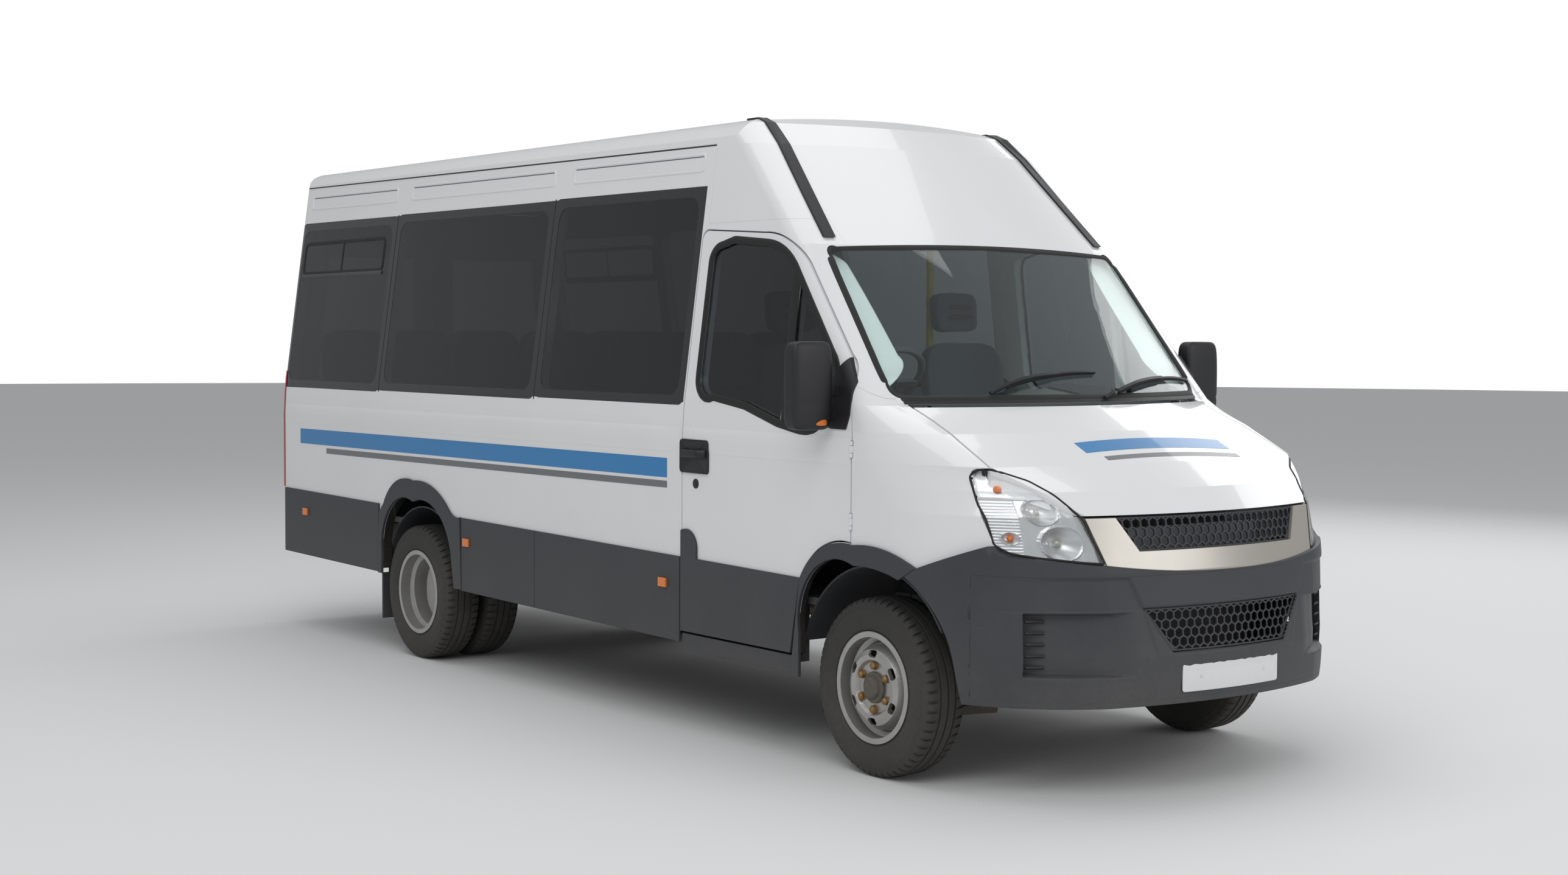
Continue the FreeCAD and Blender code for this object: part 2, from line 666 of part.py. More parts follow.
def cladding():
    out = []
    for x0, x1 in CLADDING:
        outline = [(x0, cladding_bottom(x0)), (x0, cladding_top(x0)), (x1, cladding_top(x1)), (x1, cladding_bottom(x1))]
        out.append(skin(-SKIN, 0).common(side_prism(outline, -1200, -600)))
    flare = skin(-FLARE_PROUD, 0)
    out.append(flare.common(side_prism(FRONT_FLARE, -1200, -600)))
    out.append(flare.common(side_prism(REAR_FLARE, -1200, -600).cut(ARCHES[2])))
    out.append(skin(-2, 40).common(side_prism(SILL_TRIM, -1200, -600)))
    return [s for piece in out for s in pair(piece)]


def headlamps():
    lenses, housings = [], []
    around = [bonnet_region(0), front_prism(GRILLE, 2800, 3400)]
    for prism in LAMP_PRISMS:
        lenses.append(cut_all(skin(LENS_DEPTH, LENS_DEPTH + LENS_T).common(prism), around))
        housings.append(cut_all(skin(LENS_DEPTH + LENS_T, LAMP_DEPTH).common(prism), around))
    return lenses, housings


def rear_bumper():
    """Plastic rear bumper with a bowed face and a flat step."""
    rear = -LENGTH / 2
    face = plan_prism([(rear + 3, -930), (rear, 0, rear + 3, 930), (BODY_REAR, 930), (BODY_REAR, -930)],
                      REAR_BUMPER_BOTTOM, REAR_BUMPER_TOP)
    top = box(BODY_REAR, -3180, -895, 895, REAR_BUMPER_TOP - 20, REAR_BUMPER_TOP)
    return face.fuse(top)


WIPERS = [((2366, -455), (2380, 115)), ((2449, 102), (2212, 841))]
WIPER_LIFT = 24.0


def wiper(pivot, tip):
    """A wiper arm and blade that lies along the bottom of the windscreen."""
    (x0, y0), (x1, y1) = pivot, tip
    run = Vector(x1 - x0, y1 - y0, 0)
    across = Vector(-run.y, run.x, 0).normalize() * 9
    strip = plan_prism([(x0 - across.x, y0 - across.y), (x1 - across.x, y1 - across.y),
                        (x1 + across.x, y1 + across.y), (x0 + across.x, y0 + across.y)], 1400, 1800)
    arm = skin(-WIPER_LIFT, -10).common(strip)
    foot = Part.makeCylinder(16, 120, Vector(x0 - 6, y0, 1400)).common(skin(-WIPER_LIFT, 0))
    return arm.fuse(foot)


export("front_bumper", front_bumper())
surround, meshes = grille()
export("grille_surround", surround)
export("grille_mesh", *meshes)
lenses, housings = headlamps()
export("headlamp_lenses", *lenses)
export("headlamp_housings", *housings)
export("side_cladding", *cladding())
bars = skin(-9, 0).common(front_prism(ROOF_BAR, 900, 2000)).common(box(1050, 1760, -1000, 1000, 2100, 2800))
export("roof_strips", *pair(bars))
export("rear_bumper", rear_bumper())
tail = skin(-4, 0).common(front_prism(TAIL_LAMP, -3400, -3165))
export("tail_lamps", *pair(tail))
marks = [box(x - 30, x + 30, -HALF_WIDTH - SKIN - 9, -HALF_WIDTH - SKIN, z - 20, z + 20) for x, z in MARKERS]
export("side_markers", *[s for m in marks for s in pair(m)])
export("wipers", *[wiper(*row) for row in WIPERS])


# Floor, bulkhead, dashboard

LINER_R = {FRONT_AXLE: 474.0, REAR_AXLE: 448.0}
LINER_T = 8.0
LINER_BOTTOM = 480.0
BULKHEAD_X = (2240.0, 2262.0)
BULKHEAD = [(-530, 630), (530, 630), (530, 860), (760, 860), (760, 1400), (-760, 1400), (-760, 860), (-530, 860)]
DASH = [(1860, 900), (1790, 1180), (1760, 1330, 1840, 1400), (2000, 1430), (2240, 1425), (2240, 900)]
STEERING_CENTRE = Vector(1665, -440, 1510)
STEERING_AXIS = Vector(-MID, 0, MID)
STEERING_R = 195.0


def wheel_well(axle):
    return Part.makeCylinder(LINER_R[axle], 510, Vector(axle, -1045, TYRE_R), Vector(0, 1, 0))


# The floor stops short of the rear doors, to clear their inner edges as they swing
FLOOR_REAR = -3172.0


def floor():
    front = DOOR_REAR + 7
    rear = cached_form(WALL).common(box(FLOOR_REAR, front, -1000, 1000, FLOOR_Z - FLOOR_T, FLOOR_Z))
    rear = cut_all(rear, pair(wheel_well(REAR_AXLE)))
    cab = box(front, 1990, -930, 930, CAB_FLOOR_Z - FLOOR_T, CAB_FLOOR_Z)
    cab = cut_all(cab, pair(wheel_well(FRONT_AXLE)))
    toe = box(1840, BULKHEAD_X[0], -530, 530, CAB_FLOOR_Z - FLOOR_T, CAB_FLOOR_Z)
    riser = box(front, front + 30, -930, 930, CAB_FLOOR_Z - FLOOR_T, FLOOR_Z)
    sill = box(front, 1780, -920, -890, 390, CAB_FLOOR_Z - FLOOR_T).fuse(box(front, 1780, -948, -890, 390, 420))
    bulkhead = front_prism(BULKHEAD, *BULKHEAD_X)
    return union([rear, cab, toe, riser, bulkhead] + pair(sill) + pair(bonnet_bracket()))


dash = side_prism(DASH, -880, 880).common(cached_form(WALL + 8))


def steering_wheel():
    outline = [Vector(STEERING_R + x, 0, z) for x, z in ((-14, -6), (-14, 6), (-6, 14), (6, 14), (14, 6), (14, -6),
                                                        (6, -14), (-6, -14))]
    rim = Part.Face(Part.makePolygon(outline + outline[:1])).revolve(Vector(0, 0, 0), Vector(0, 0, 1), 360)
    rim.rotate(Vector(0, 0, 0), Vector(0, 1, 0), -45)
    rim.translate(STEERING_CENTRE)
    hub = Part.makeCylinder(62, 40, STEERING_CENTRE - STEERING_AXIS * 40, STEERING_AXIS)
    column = Part.makeCylinder(28, 300, STEERING_CENTRE - STEERING_AXIS * 330, STEERING_AXIS).cut(dash)
    spokes = []
    for turn in (90, 210, 330):
        spoke = Part.makeBox(STEERING_R, 30, 14, Vector(0, -15, -7))
        spoke.rotate(Vector(0, 0, 0), Vector(0, 0, 1), turn)
        spoke.rotate(Vector(0, 0, 0), Vector(0, 1, 0), -45)
        spoke.translate(STEERING_CENTRE - STEERING_AXIS * 8)
        spokes.append(spoke)
    return union([rim, hub, column] + spokes)


export("floor", floor())
export("dashboard", dash)
export("steering_wheel", steering_wheel())


# Seats

CAB_SEAT_Z = CAB_FLOOR_Z + 440
CAB_SEATS = [(1190, -470), (1190, 470)]
CAB_SEAT_W = 480.0
SEAT_Z = FLOOR_Z + 430
SEAT_W = 410.0
ROWS = [-2880, -2130, -1290, -520, 260]
SEAT_Y = [-660, -240, 655]
PAD_T = 110.0


def seat(x, y, z, width, headrest):
    """One seat, its back's foot at x and its pad's top at z."""
    pad = [(x, z - PAD_T), (x, z - 30), (x + 20, z), (x + 430, z + 15), (x + 470, z + 5, x + 480, z - 40),
           (x + 470, z - 100, x + 440, z - PAD_T)]
    back = [(x - 10, z - PAD_T), (x - 120, z + 560), (x - 122, z + 610, x - 95, z + 620),
            (x - 50, z + 620, x - 35, z + 590), (x + 90, z + 20), (x + 90, z - PAD_T)]
    pieces = [side_prism(pad, y - width / 2, y + width / 2), side_prism(back, y - width / 2, y + width / 2)]
    if headrest:
        head = [(x - 118, z + 600), (x - 150, z + 780), (x - 145, z + 812, x - 110, z + 815),
                (x - 70, z + 805, x - 62, z + 770), (x - 40, z + 600)]
        pieces.append(side_prism(head, y - 130, y + 130))
    return union(pieces)


def seat_frame(x, y):
    """A plate under one passenger seat on two feet."""
    pieces = [box(x + 60, x + 380, y - 170, y + 170, SEAT_Z - PAD_T - 20, SEAT_Z - PAD_T)]
    for foot in (80, 330):
        pieces.append(box(x + foot, x + foot + 40, y - 20, y + 20, FLOOR_Z, SEAT_Z - PAD_T - 20))
    return union(pieces)


places = [(x, y) for x in ROWS for y in SEAT_Y if x < ROWS[-1] or y < 0]
bases = [box(x + 40, x + 410, y - 190, y + 190, CAB_FLOOR_Z, CAB_SEAT_Z - PAD_T) for x, y in CAB_SEATS]
export("front_seats", *[seat(x, y, CAB_SEAT_Z, CAB_SEAT_W, True) for x, y in CAB_SEATS])
export("passenger_seats", *[seat(x, y, SEAT_Z, SEAT_W, False) for x, y in places])
export("seat_frames", *[seat_frame(x, y) for x, y in places], *bases)
POLES = [(900, 480), (800, -60)]
poles = [Part.makeCylinder(16, 2000, Vector(x, y, FLOOR_Z)).common(cached_form(WALL)) for x, y in POLES]
export("grab_poles", *poles)


# Chassis

RAIL_Y = 400.0
RAIL_W = 70.0
RAIL_Z = (480.0, 630.0)
RAIL_X = (-3180.0, 3080.0)
CROSSMEMBERS = [-3140, -2300, -700, 700, 1500, 2980]
# A jacking pad under each rail: its middle, half length, half width and thickness
JACK_X = 1100.0
JACK_PAD = (40.0, 28.0, 8.0)
CROSSMEMBER_Z = (530.0, 620.0)
OUTRIGGERS = [-3000, -2400, -900, -100, 700]
# Flange for a bolted coupling ball: 83 by 56 mm, four M10 bolts
TOW_Z = 430.0
TOW_X = -3175.0
TOW_HOLES = (83.0, 56.0, 5.25)
ARM = [(2130, 400), (2210, 700), (2237, 731), (2263, 731), (2290, 700), (2370, 400)]
LOWER_ARM_Z = (215.0, 250.0)
UPPER_ARM_Z = (530.0, 555.0)
UPRIGHT_Z = (256.0, 520.0)
JOINT_R = 13.0
AXLE_R = 55.0
SPINDLE_R = 30.0


def tow_flange():
    plate = box(TOW_X, TOW_X + 12, -75, 75, TOW_Z - 50, TOW_Z + 50)
    across, up, r = TOW_HOLES
    for y in (-across / 2, across / 2):
        for z in (-up / 2, up / 2):
            plate = plate.cut(Part.makeCylinder(r, 12, Vector(TOW_X, y, TOW_Z + z), Vector(1, 0, 0)))
    hanger = box(TOW_X + 12, TOW_X + 60, -60, 60, TOW_Z + 45, CROSSMEMBER_Z[0]).fuse(
        box(TOW_X, TOW_X + 60, -75, 75, TOW_Z + 45, TOW_Z + 60))
    return plate.fuse(hanger)


def chassis_frame():
    pieces = []
    inner = bumper_form(BUMPER_WALL)
    for side in (-1, 1):
        y0, y1 = side * RAIL_Y - RAIL_W / 2, side * RAIL_Y + RAIL_W / 2
        pieces.append(box(*RAIL_X, y0, y1, *RAIL_Z))
        pieces.append(box(JACK_X - JACK_PAD[0], JACK_X + JACK_PAD[0], side * RAIL_Y - JACK_PAD[1],
                          side * RAIL_Y + JACK_PAD[1], RAIL_Z[0] - JACK_PAD[2], RAIL_Z[0]))
        pieces.append(box(RAIL_X[1] - 20, 3250, y0, y1, 520, 600).common(inner))
    for x in CROSSMEMBERS:
        pieces.append(box(x - 35, x + 35, -RAIL_Y, RAIL_Y, *CROSSMEMBER_Z))
    pieces.append(box(1770, 1830, -RAIL_Y, RAIL_Y, 600, 628))
    for x in OUTRIGGERS:
        pieces.append(box(x - 25, x + 25, -936, 936, RAIL_Z[1], FLOOR_Z - FLOOR_T))
    return union(pieces + [tow_flange()])


def engine():
    """Engine and gearbox as plain blocks, with the two engine mounts."""
    block = box(2270, 2930, -290, 290, 470, 1080)
    gearbox = box(1740, 2270, -130, 130, 435, 600)
    mount = box(2275, 2335, -260, -180, 430, 470)
    return union([block, gearbox] + pair(mount))


def front_suspension():
    """Axle beam, and a lower and an upper arm on each side that end in the joints of the knuckle."""
    pieces = [box(FRONT_AXLE - 90, FRONT_AXLE + 90, -430, 430, 310, 430)]
    left = [plan_prism(ARM, *LOWER_ARM_Z), box(FRONT_AXLE - 90, FRONT_AXLE + 90, 370, 430, LOWER_ARM_Z[0], RAIL_Z[0]),
            Part.makeCylinder(JOINT_R, 50, Vector(FRONT_AXLE, KINGPIN_Y, LOWER_ARM_Z[1])),
            plan_prism(ARM, *UPPER_ARM_Z).cut(box(2000, 2500, 0, RAIL_Y + RAIL_W / 2, 0, 800)),
            Part.makeCylinder(JOINT_R, 40, Vector(FRONT_AXLE, KINGPIN_Y, UPPER_ARM_Z[0] - 40))]
    lower = union(pieces + [s for piece in left[:3] for s in pair(piece)])
    return [lower] + pair(left[3].fuse(left[4]))


def rear_axle():
    tube = Part.makeCylinder(AXLE_R, 1480, Vector(REAR_AXLE, -740, TYRE_R), Vector(0, 1, 0))
    spindle = Part.makeCylinder(SPINDLE_R, 1650, Vector(REAR_AXLE, -825, TYRE_R), Vector(0, 1, 0))
    outline = [(-130, 0), (-130, 90), (-90, 148), (60, 148), (120, 80), (270, 50), (270, 0)]
    face = Part.Face(path(outline, lambda x, r: Vector(REAR_AXLE + x, 0, TYRE_R + r)))
    casing = face.revolve(Vector(REAR_AXLE, 0, TYRE_R), Vector(1, 0, 0), 360)
    return union([tube, spindle, casing])


def leaf_spring():
    low = TYRE_R + AXLE_R
    leaf = side_prism([(-2150, 480), (-1820, 425, -1500, low), (-1180, 425, -850, 480), (-850, 510),
                       (-1180, 460, -1500, low + 40), (-1820, 460, -2150, 510)], 445, 515)
    shackles = [box(x - 25, x + 25, RAIL_Y + RAIL_W / 2, 515, 470, 600) for x in (-2150, -850)]
    return union([leaf] + shackles)


def propeller_shaft():
    start = Vector(REAR_AXLE + 270, 0, TYRE_R)
    run = Vector(1740, 0, 480) - start
    tube = Part.makeCylinder(38, run.Length + 20, start - Vector(run).normalize() * 10, run)
    return tube.common(box(REAR_AXLE + 270, 1740, -100, 100, 0, 900))


def exhaust():
    """Silencer hung under an outrigger, the pipe beside the rail and the crossing to the gearbox."""
    y, z = -560, RAIL_Z[1] - 85
    along, across = Vector(1, 0, 0), Vector(0, 1, 0)
    low = 450
    pieces = [Part.makeCylinder(85, 700, Vector(-600, y, z), along), Part.makeCylinder(28, 1660, Vector(100, y, z), along),
              Part.makeCylinder(28, z - low, Vector(1760, y, low)), Part.makeCylinder(28, -130 - y, Vector(1760, y, low), across),
              Part.makeSphere(28, Vector(1760, y, z)), Part.makeSphere(28, Vector(1760, y, low))]
    return union(pieces)


def arch_liners():
    out = []
    for axle, depth, front in ((FRONT_AXLE, (540, 930), 2640), (REAR_AXLE, (545, 938), FAR)):
        y0, y1 = depth
        ring = Part.makeCylinder(LINER_R[axle], y1 - y0, Vector(axle, y0, TYRE_R), Vector(0, 1, 0))
        ring = ring.cut(Part.makeCylinder(LINER_R[axle] - LINER_T, y1 - y0, Vector(axle, y0, TYRE_R), Vector(0, 1, 0)))
        ring = ring.cut(box(-FAR, FAR, 0, 1300, -500, LINER_BOTTOM))
        out += pair(ring.cut(box(front, FAR + 1, 0, 1300, 0, 3000)))
    flap = front_prism([(-975, 165), (-580, 165), (-580, LINER_BOTTOM), (-936, LINER_BOTTOM), (-936, 412), (-975, 412)],
                       -1929, -1918)
    return out + pair(flap)


export("chassis_frame", chassis_frame())
export("engine", engine())
export("radiator", box(2990, 3035, -350, 350, CROSSMEMBER_Z[1], 1000))
export("front_suspension", *front_suspension())
export("rear_axle", rear_axle())
export("leaf_springs", *pair(leaf_spring()))
export("propeller_shaft", propeller_shaft())
export("fuel_tank", side_prism(rounded(-200, 620, 400, RAIL_Z[1], 40), 450, 850))
export("exhaust", exhaust())
export("arch_liners", *arch_liners())


# Wheels and knuckles

def faceted_ring(points, axle, sides):
    """Turns a closed (y, r) outline about a wheel's axle in flat steps; its inner corners clear the true circle."""
    turns = [2 * math.pi * (i / sides - 0.25) for i in range(sides)]
    rings = [[Vector(axle + r * math.cos(a), y, TYRE_R + r * math.sin(a)) for a in turns] for y, r in points]
    faces = []
    for ring, after in zip(rings, rings[1:] + rings[:1]):
        for i in range(sides):
            k = (i + 1) % sides
            faces.append(Part.Face(Part.makePolygon([ring[i], ring[k], after[k], after[i], ring[i]])))
    sewn = Part.makeCompound(faces)
    sewn.sewShape(SEW)
    solid = Part.Solid(sewn.Shells[0] if sewn.ShapeType != "Shell" else sewn)
    if solid.Volume < 0:
        solid.reverse()
    return solid


def tyre(axle, centre):
    """A hollow tyre. Its bore's flats touch the rim's bead seats."""
    bore = BEAD_R / math.cos(math.pi / TYRE_SIDES) + TYRE_FIT
    half = TYRE_W / 2
    right = [(66, TYRE_R), (87, 334), (half, 285), (79, bore), (66, bore), (72, TREAD_INSIDE_R)]
    left = [(-y, r) for y, r in reversed(right)]
    return faceted_ring([(centre + y, r) for y, r in right + left], axle, TYRE_SIDES)


def barrel(c, way):
    """The rim's barrel about its middle c, with way pointing to its outer side."""
    outline = [(-RIM_HALF, BARREL_R), (-RIM_HALF, FLANGE_R), (-86, FLANGE_R), (-BEAD_HALF, BEAD_R),
               (-66, BEAD_R), (-54, WELL_R + RIM_T), (18, WELL_R + RIM_T), (30, BEAD_R),
               (BEAD_HALF, BEAD_R), (86, FLANGE_R), (RIM_HALF, FLANGE_R), (RIM_HALF, BARREL_R),
               (36, BARREL_R), (24, WELL_R), (-60, WELL_R), (-72, BARREL_R)]
    return [(c + way * y, r) for y, r in outline]


def front_rim(side):
    """Steel rim with a domed disc, six long windows and a hub bore."""
    c = FRONT_TRACK / 2
    disc = [(c + 10, WELL_R + 1), (c + 44, 168), (c + 82, 148), (c + 92, 128), (c + 88, 108), (c + 74, 98), (c + 74, 50),
            (c + 62, 50), (c + 62, 104), (c + 78, 130), (c + 68, 146), (c + 30, 162), (c + 10, 164)]
    boss = Part.makeCylinder(60, 54, Vector(FRONT_AXLE, c + 20, TYRE_R), Vector(0, 1, 0))
    rim = union([faceted_ring(points, FRONT_AXLE, RIM_SIDES) for points in (barrel(c, 1), disc)] + [boss])
    bore = Part.makeCylinder(SPINDLE_R + PIN_PLAY, c + 60, Vector(FRONT_AXLE, 0, TYRE_R), Vector(0, 1, 0))
    rim = rim.cut(bore)
    for i in range(6):
        window = side_prism(rounded(FRONT_AXLE - 24, FRONT_AXLE + 24, TYRE_R + 118, TYRE_R + 146, 13), c, c + 120)
        window.rotate(Vector(FRONT_AXLE, 0, TYRE_R), Vector(0, 1, 0), 60 * i)
        rim = rim.cut(window)
    return rim if side > 0 else mirrored(rim)


def rear_rims(side):
    """Twin rims joined face to face, with the hub that turns on the axle's spindle."""
    m = REAR_TRACK / 2
    half = TWIN_SPACING / 2
    pieces = []
    for way in (1, -1):
        c = m + way * half
        dish = [(-60, WELL_R + 1), (-94, 124), (-half, 118), (-half, 62), (-104, 62), (-104, 108), (-84, 120), (-50, WELL_R + 1)]
        pieces.append(faceted_ring(barrel(c, way), REAR_AXLE, RIM_SIDES))
        pieces.append(faceted_ring([(c + way * y, r) for y, r in dish], REAR_AXLE, RIM_SIDES))
    pieces.append(Part.makeCylinder(63, 72, Vector(REAR_AXLE, m - 12, TYRE_R), Vector(0, 1, 0)))
    pieces.append(Part.makeCone(63, 44, 26, Vector(REAR_AXLE, m + 60, TYRE_R), Vector(0, 1, 0)))
    bore = Part.makeCylinder(SPINDLE_R + PIN_PLAY, m + 57, Vector(REAR_AXLE, 0, TYRE_R), Vector(0, 1, 0))
    rims = union(pieces).cut(bore)
    return rims if side > 0 else mirrored(rims)


def knuckle(side):
    """Stub axle, upright and brake disc, with the bores of its upper and lower joints."""
    centre = Vector(FRONT_AXLE, 725, TYRE_R)
    spindle = Part.makeCylinder(SPINDLE_R, 175, centre, Vector(0, 1, 0))
    post = box(FRONT_AXLE - 38, FRONT_AXLE + 38, 690, 740, *UPRIGHT_Z)
    brake = Part.makeCylinder(150, 22, Vector(FRONT_AXLE, 742, TYRE_R), Vector(0, 1, 0)).fuse(
        Part.makeCylinder(60, 10, Vector(FRONT_AXLE, 735, TYRE_R), Vector(0, 1, 0)))
    low = Part.makeCylinder(JOINT_R + PIN_PLAY, 50.3, Vector(FRONT_AXLE, KINGPIN_Y, LOWER_ARM_Z[1]))
    high = Part.makeCylinder(JOINT_R + PIN_PLAY, 60, Vector(FRONT_AXLE, KINGPIN_Y, UPPER_ARM_Z[0] - 40.3))
    shape = union([spindle, post, brake]).cut(low).cut(high)
    return shape if side > 0 else mirrored(shape)


for tag, side in (("right", -1), ("left", 1)):
    export("knuckle_%s" % tag, knuckle(side))
    export("front_rim_%s" % tag, front_rim(side))
    export("front_tyre_%s" % tag, tyre(FRONT_AXLE, side * FRONT_TRACK / 2))
    export("rear_rims_%s" % tag, rear_rims(side))
    twins = [tyre(REAR_AXLE, side * REAR_TRACK / 2 + way * TWIN_SPACING / 2) for way in (-1, 1)]
    export("rear_tyres_%s" % tag, *twins)
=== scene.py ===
# %% [markdown]
# # A high-roof minibus
# The CAD model gives every panel, window, wheel and hinge its true size and place. This script dresses it:
# paint and plastic finishes, tyres with tread, lamp reflectors, seats, seals, mirrors and small fittings.
# All lengths are metres, +X forward, +Y to the bus's left, +Z up, with the origin on the ground.

# %% Load the frame
import json
import math

import bmesh
import bpy
from mathutils import Matrix, Vector
from mathutils.bvhtree import BVHTree


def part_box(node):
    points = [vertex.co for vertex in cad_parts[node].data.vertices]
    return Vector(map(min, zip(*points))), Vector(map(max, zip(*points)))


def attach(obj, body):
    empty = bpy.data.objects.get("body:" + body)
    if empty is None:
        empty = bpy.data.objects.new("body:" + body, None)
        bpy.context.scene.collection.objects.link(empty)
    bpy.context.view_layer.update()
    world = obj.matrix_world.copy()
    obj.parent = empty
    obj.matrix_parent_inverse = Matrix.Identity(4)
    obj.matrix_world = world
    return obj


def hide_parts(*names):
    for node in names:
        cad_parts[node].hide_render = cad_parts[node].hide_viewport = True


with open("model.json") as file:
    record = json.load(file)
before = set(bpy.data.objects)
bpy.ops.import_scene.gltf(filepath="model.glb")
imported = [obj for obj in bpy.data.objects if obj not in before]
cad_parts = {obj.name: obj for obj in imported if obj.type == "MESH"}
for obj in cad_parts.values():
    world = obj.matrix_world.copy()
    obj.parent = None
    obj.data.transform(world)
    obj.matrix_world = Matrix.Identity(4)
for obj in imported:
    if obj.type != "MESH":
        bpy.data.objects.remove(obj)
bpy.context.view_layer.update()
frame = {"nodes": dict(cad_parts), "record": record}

nodes = frame["nodes"]
slot_of = {row["node"]: row["material_slot"] for row in frame["record"]["subparts"]}

# %% [markdown]
# ## Small helpers for meshes
# Most trim on a vehicle is a strip swept along a line, an outline turned about an axis, or a moulded block.
# These helpers make all three from rings of points joined by quads. Level lines cast at the CAD panels find
# the curve that a piece lies on. Each new piece gets a finish and rides on the body that carries it.

# %% Mesh helpers
MM = 0.001
SIDES = (("right", -1), ("left", 1))
# Level lines start here, well outside the bus: beside it, ahead of it and behind it
FROM_SIDE, FROM_FRONT, FROM_REAR = 3.0, 4.5, -5.0
# A rounded corner takes at most this share of each edge that meets in it
CORNER_SHARE = 0.45


def placed(name, data):
    """A new object in the scene."""
    obj = bpy.data.objects.new(name, data)
    bpy.context.scene.collection.objects.link(obj)
    return obj


# The corners of a rectangle in turn, as signs
QUARTERS = ((-1, -1), (1, -1), (1, 1), (-1, 1))


def circle(radius, steps):
    """Even (along, up) points round a circle."""
    angles = [math.tau * k / steps for k in range(steps)]
    return [(radius * math.cos(a), radius * math.sin(a)) for a in angles]


def flipped(faces):
    """The same faces, turned to look the other way."""
    return [tuple(reversed(face)) for face in faces]


def add_piece(name, verts, faces, material, body, smooth=35.0):
    """A named mesh piece with its finish, riding on a body."""
    mesh = bpy.data.meshes.new(name)
    mesh.from_pydata([tuple(v) for v in verts], [], faces)
    mesh.validate()
    mesh.polygons.foreach_set("use_smooth", [True] * len(mesh.polygons))
    mesh.set_sharp_from_angle(angle=math.radians(smooth))
    mesh.materials.append(material)
    obj = placed(name, mesh)
    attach(obj, body)
    return obj


def join_rings(rings, closed_ring=True, closed_run=False, caps=False):
    """Vertices and quads between neighbouring rings of equal length."""
    n = len(rings[0])
    verts = [p for ring in rings for p in ring]
    faces = []
    runs = len(rings) if closed_run else len(rings) - 1
    cols = n if closed_ring else n - 1
    for i in range(runs):
        a, b = i * n, ((i + 1) % len(rings)) * n
        for j in range(cols):
            k = (j + 1) % n
            faces.append((a + j, a + k, b + k, b + j))
    if caps:
        faces.append(tuple(reversed(range(n))))
        faces.append(tuple(range((len(rings) - 1) * n, len(rings) * n)))
    return verts, faces


def turned(profile, centre, steps, out=1.0):
    """Rings of an (along, radius) outline turned about a Y axis through centre; along grows outwards."""
    rings = []
    for i in range(steps):
        a = 2 * math.pi * i / steps
        rings.append([centre + Vector((r * math.cos(a), out * y, r * math.sin(a))) for y, r in profile])
    return join_rings(rings, closed_ring=False, closed_run=True)


def surface(*names):
    """A tree for finding points on these CAD nodes."""
    verts, faces = [], []
    for name in names:
        mesh = nodes[name].data
        start = len(verts)
        verts += [v.co.copy() for v in mesh.vertices]
        faces += [[start + i for i in p.vertices] for p in mesh.polygons]
    return BVHTree.FromPolygons(verts, faces)


def hit_side(tree, x, z, side):
    """The point and outward normal where a level line from the side meets the surface."""
    point, normal, _, _ = tree.ray_cast(Vector((x, side * FROM_SIDE, z)), Vector((0, -side, 0)))
    if point is None:
        return None, None
    return point, normal if normal.y * side > 0 else -normal


def hit_front(tree, y, z):
    """The point and outward normal where a level line from the front meets the surface."""
    point, normal, _, _ = tree.ray_cast(Vector((FROM_FRONT, y, z)), Vector((-1, 0, 0)))
    if point is None:
        return None, None
    return point, normal if normal.x > 0 else -normal


def sweep(points, normals, section, closed=False):
    """Sweeps a section of (across, out) offsets along points that lie on a surface with these normals."""
    rings = []
    count = len(points)
    for i, (p, n) in enumerate(zip(points, normals)):
        if closed:
            before, after = points[i - 1], points[(i + 1) % count]
        else:
            before, after = points[max(i - 1, 0)], points[min(i + 1, count - 1)]
        along = (after - before).normalized()
        across = along.cross(n).normalized()
        rings.append([p + across * a + n * o for a, o in section])
    return join_rings(rings, closed_ring=True, closed_run=closed, caps=not closed)


def half_round(width, height, sink=0.0, steps=6):
    """A half-round bead section, width across and height proud, with its foot sunk into the surface."""
    turns = [math.pi * i / steps for i in range(steps + 1)]
    bow = [(math.cos(a) * width / 2, math.sin(a) * height) for a in turns]
    return bow + [(-width / 2, -sink), (width / 2, -sink)]


def fine_line(corners, step=0.03, closed=False):
    """Even points along a run of corners."""
    out = []
    ends = list(corners) + ([corners[0]] if closed else [])
    for a, b in zip(ends, ends[1:]):
        a, b = Vector(a), Vector(b)
        parts = max(1, int((b - a).length / step))
        out += [a.lerp(b, i / parts) for i in range(parts)]
    if not closed:
        out.append(Vector(ends[-1]))
    return out


def rounded_corners(corners, radius, steps=5, closed=True):
    """Corners of a flat outline cut back and rounded."""
    out = []
    n = len(corners)
    for i, c in enumerate(corners):
        c = Vector(c)
        if not closed and i in (0, n - 1):
            out.append(c)
            continue
        a, b = Vector(corners[i - 1]), Vector(corners[(i + 1) % n])
        ra = min(radius, (a - c).length * CORNER_SHARE)
        rb = min(radius, (b - c).length * CORNER_SHARE)
        p, q = c + (a - c).normalized() * ra, c + (b - c).normalized() * rb
        for k in range(steps + 1):
            t = k / steps
            out.append((1 - t) ** 2 * p + 2 * t * (1 - t) * c + t * t * q)
    return out


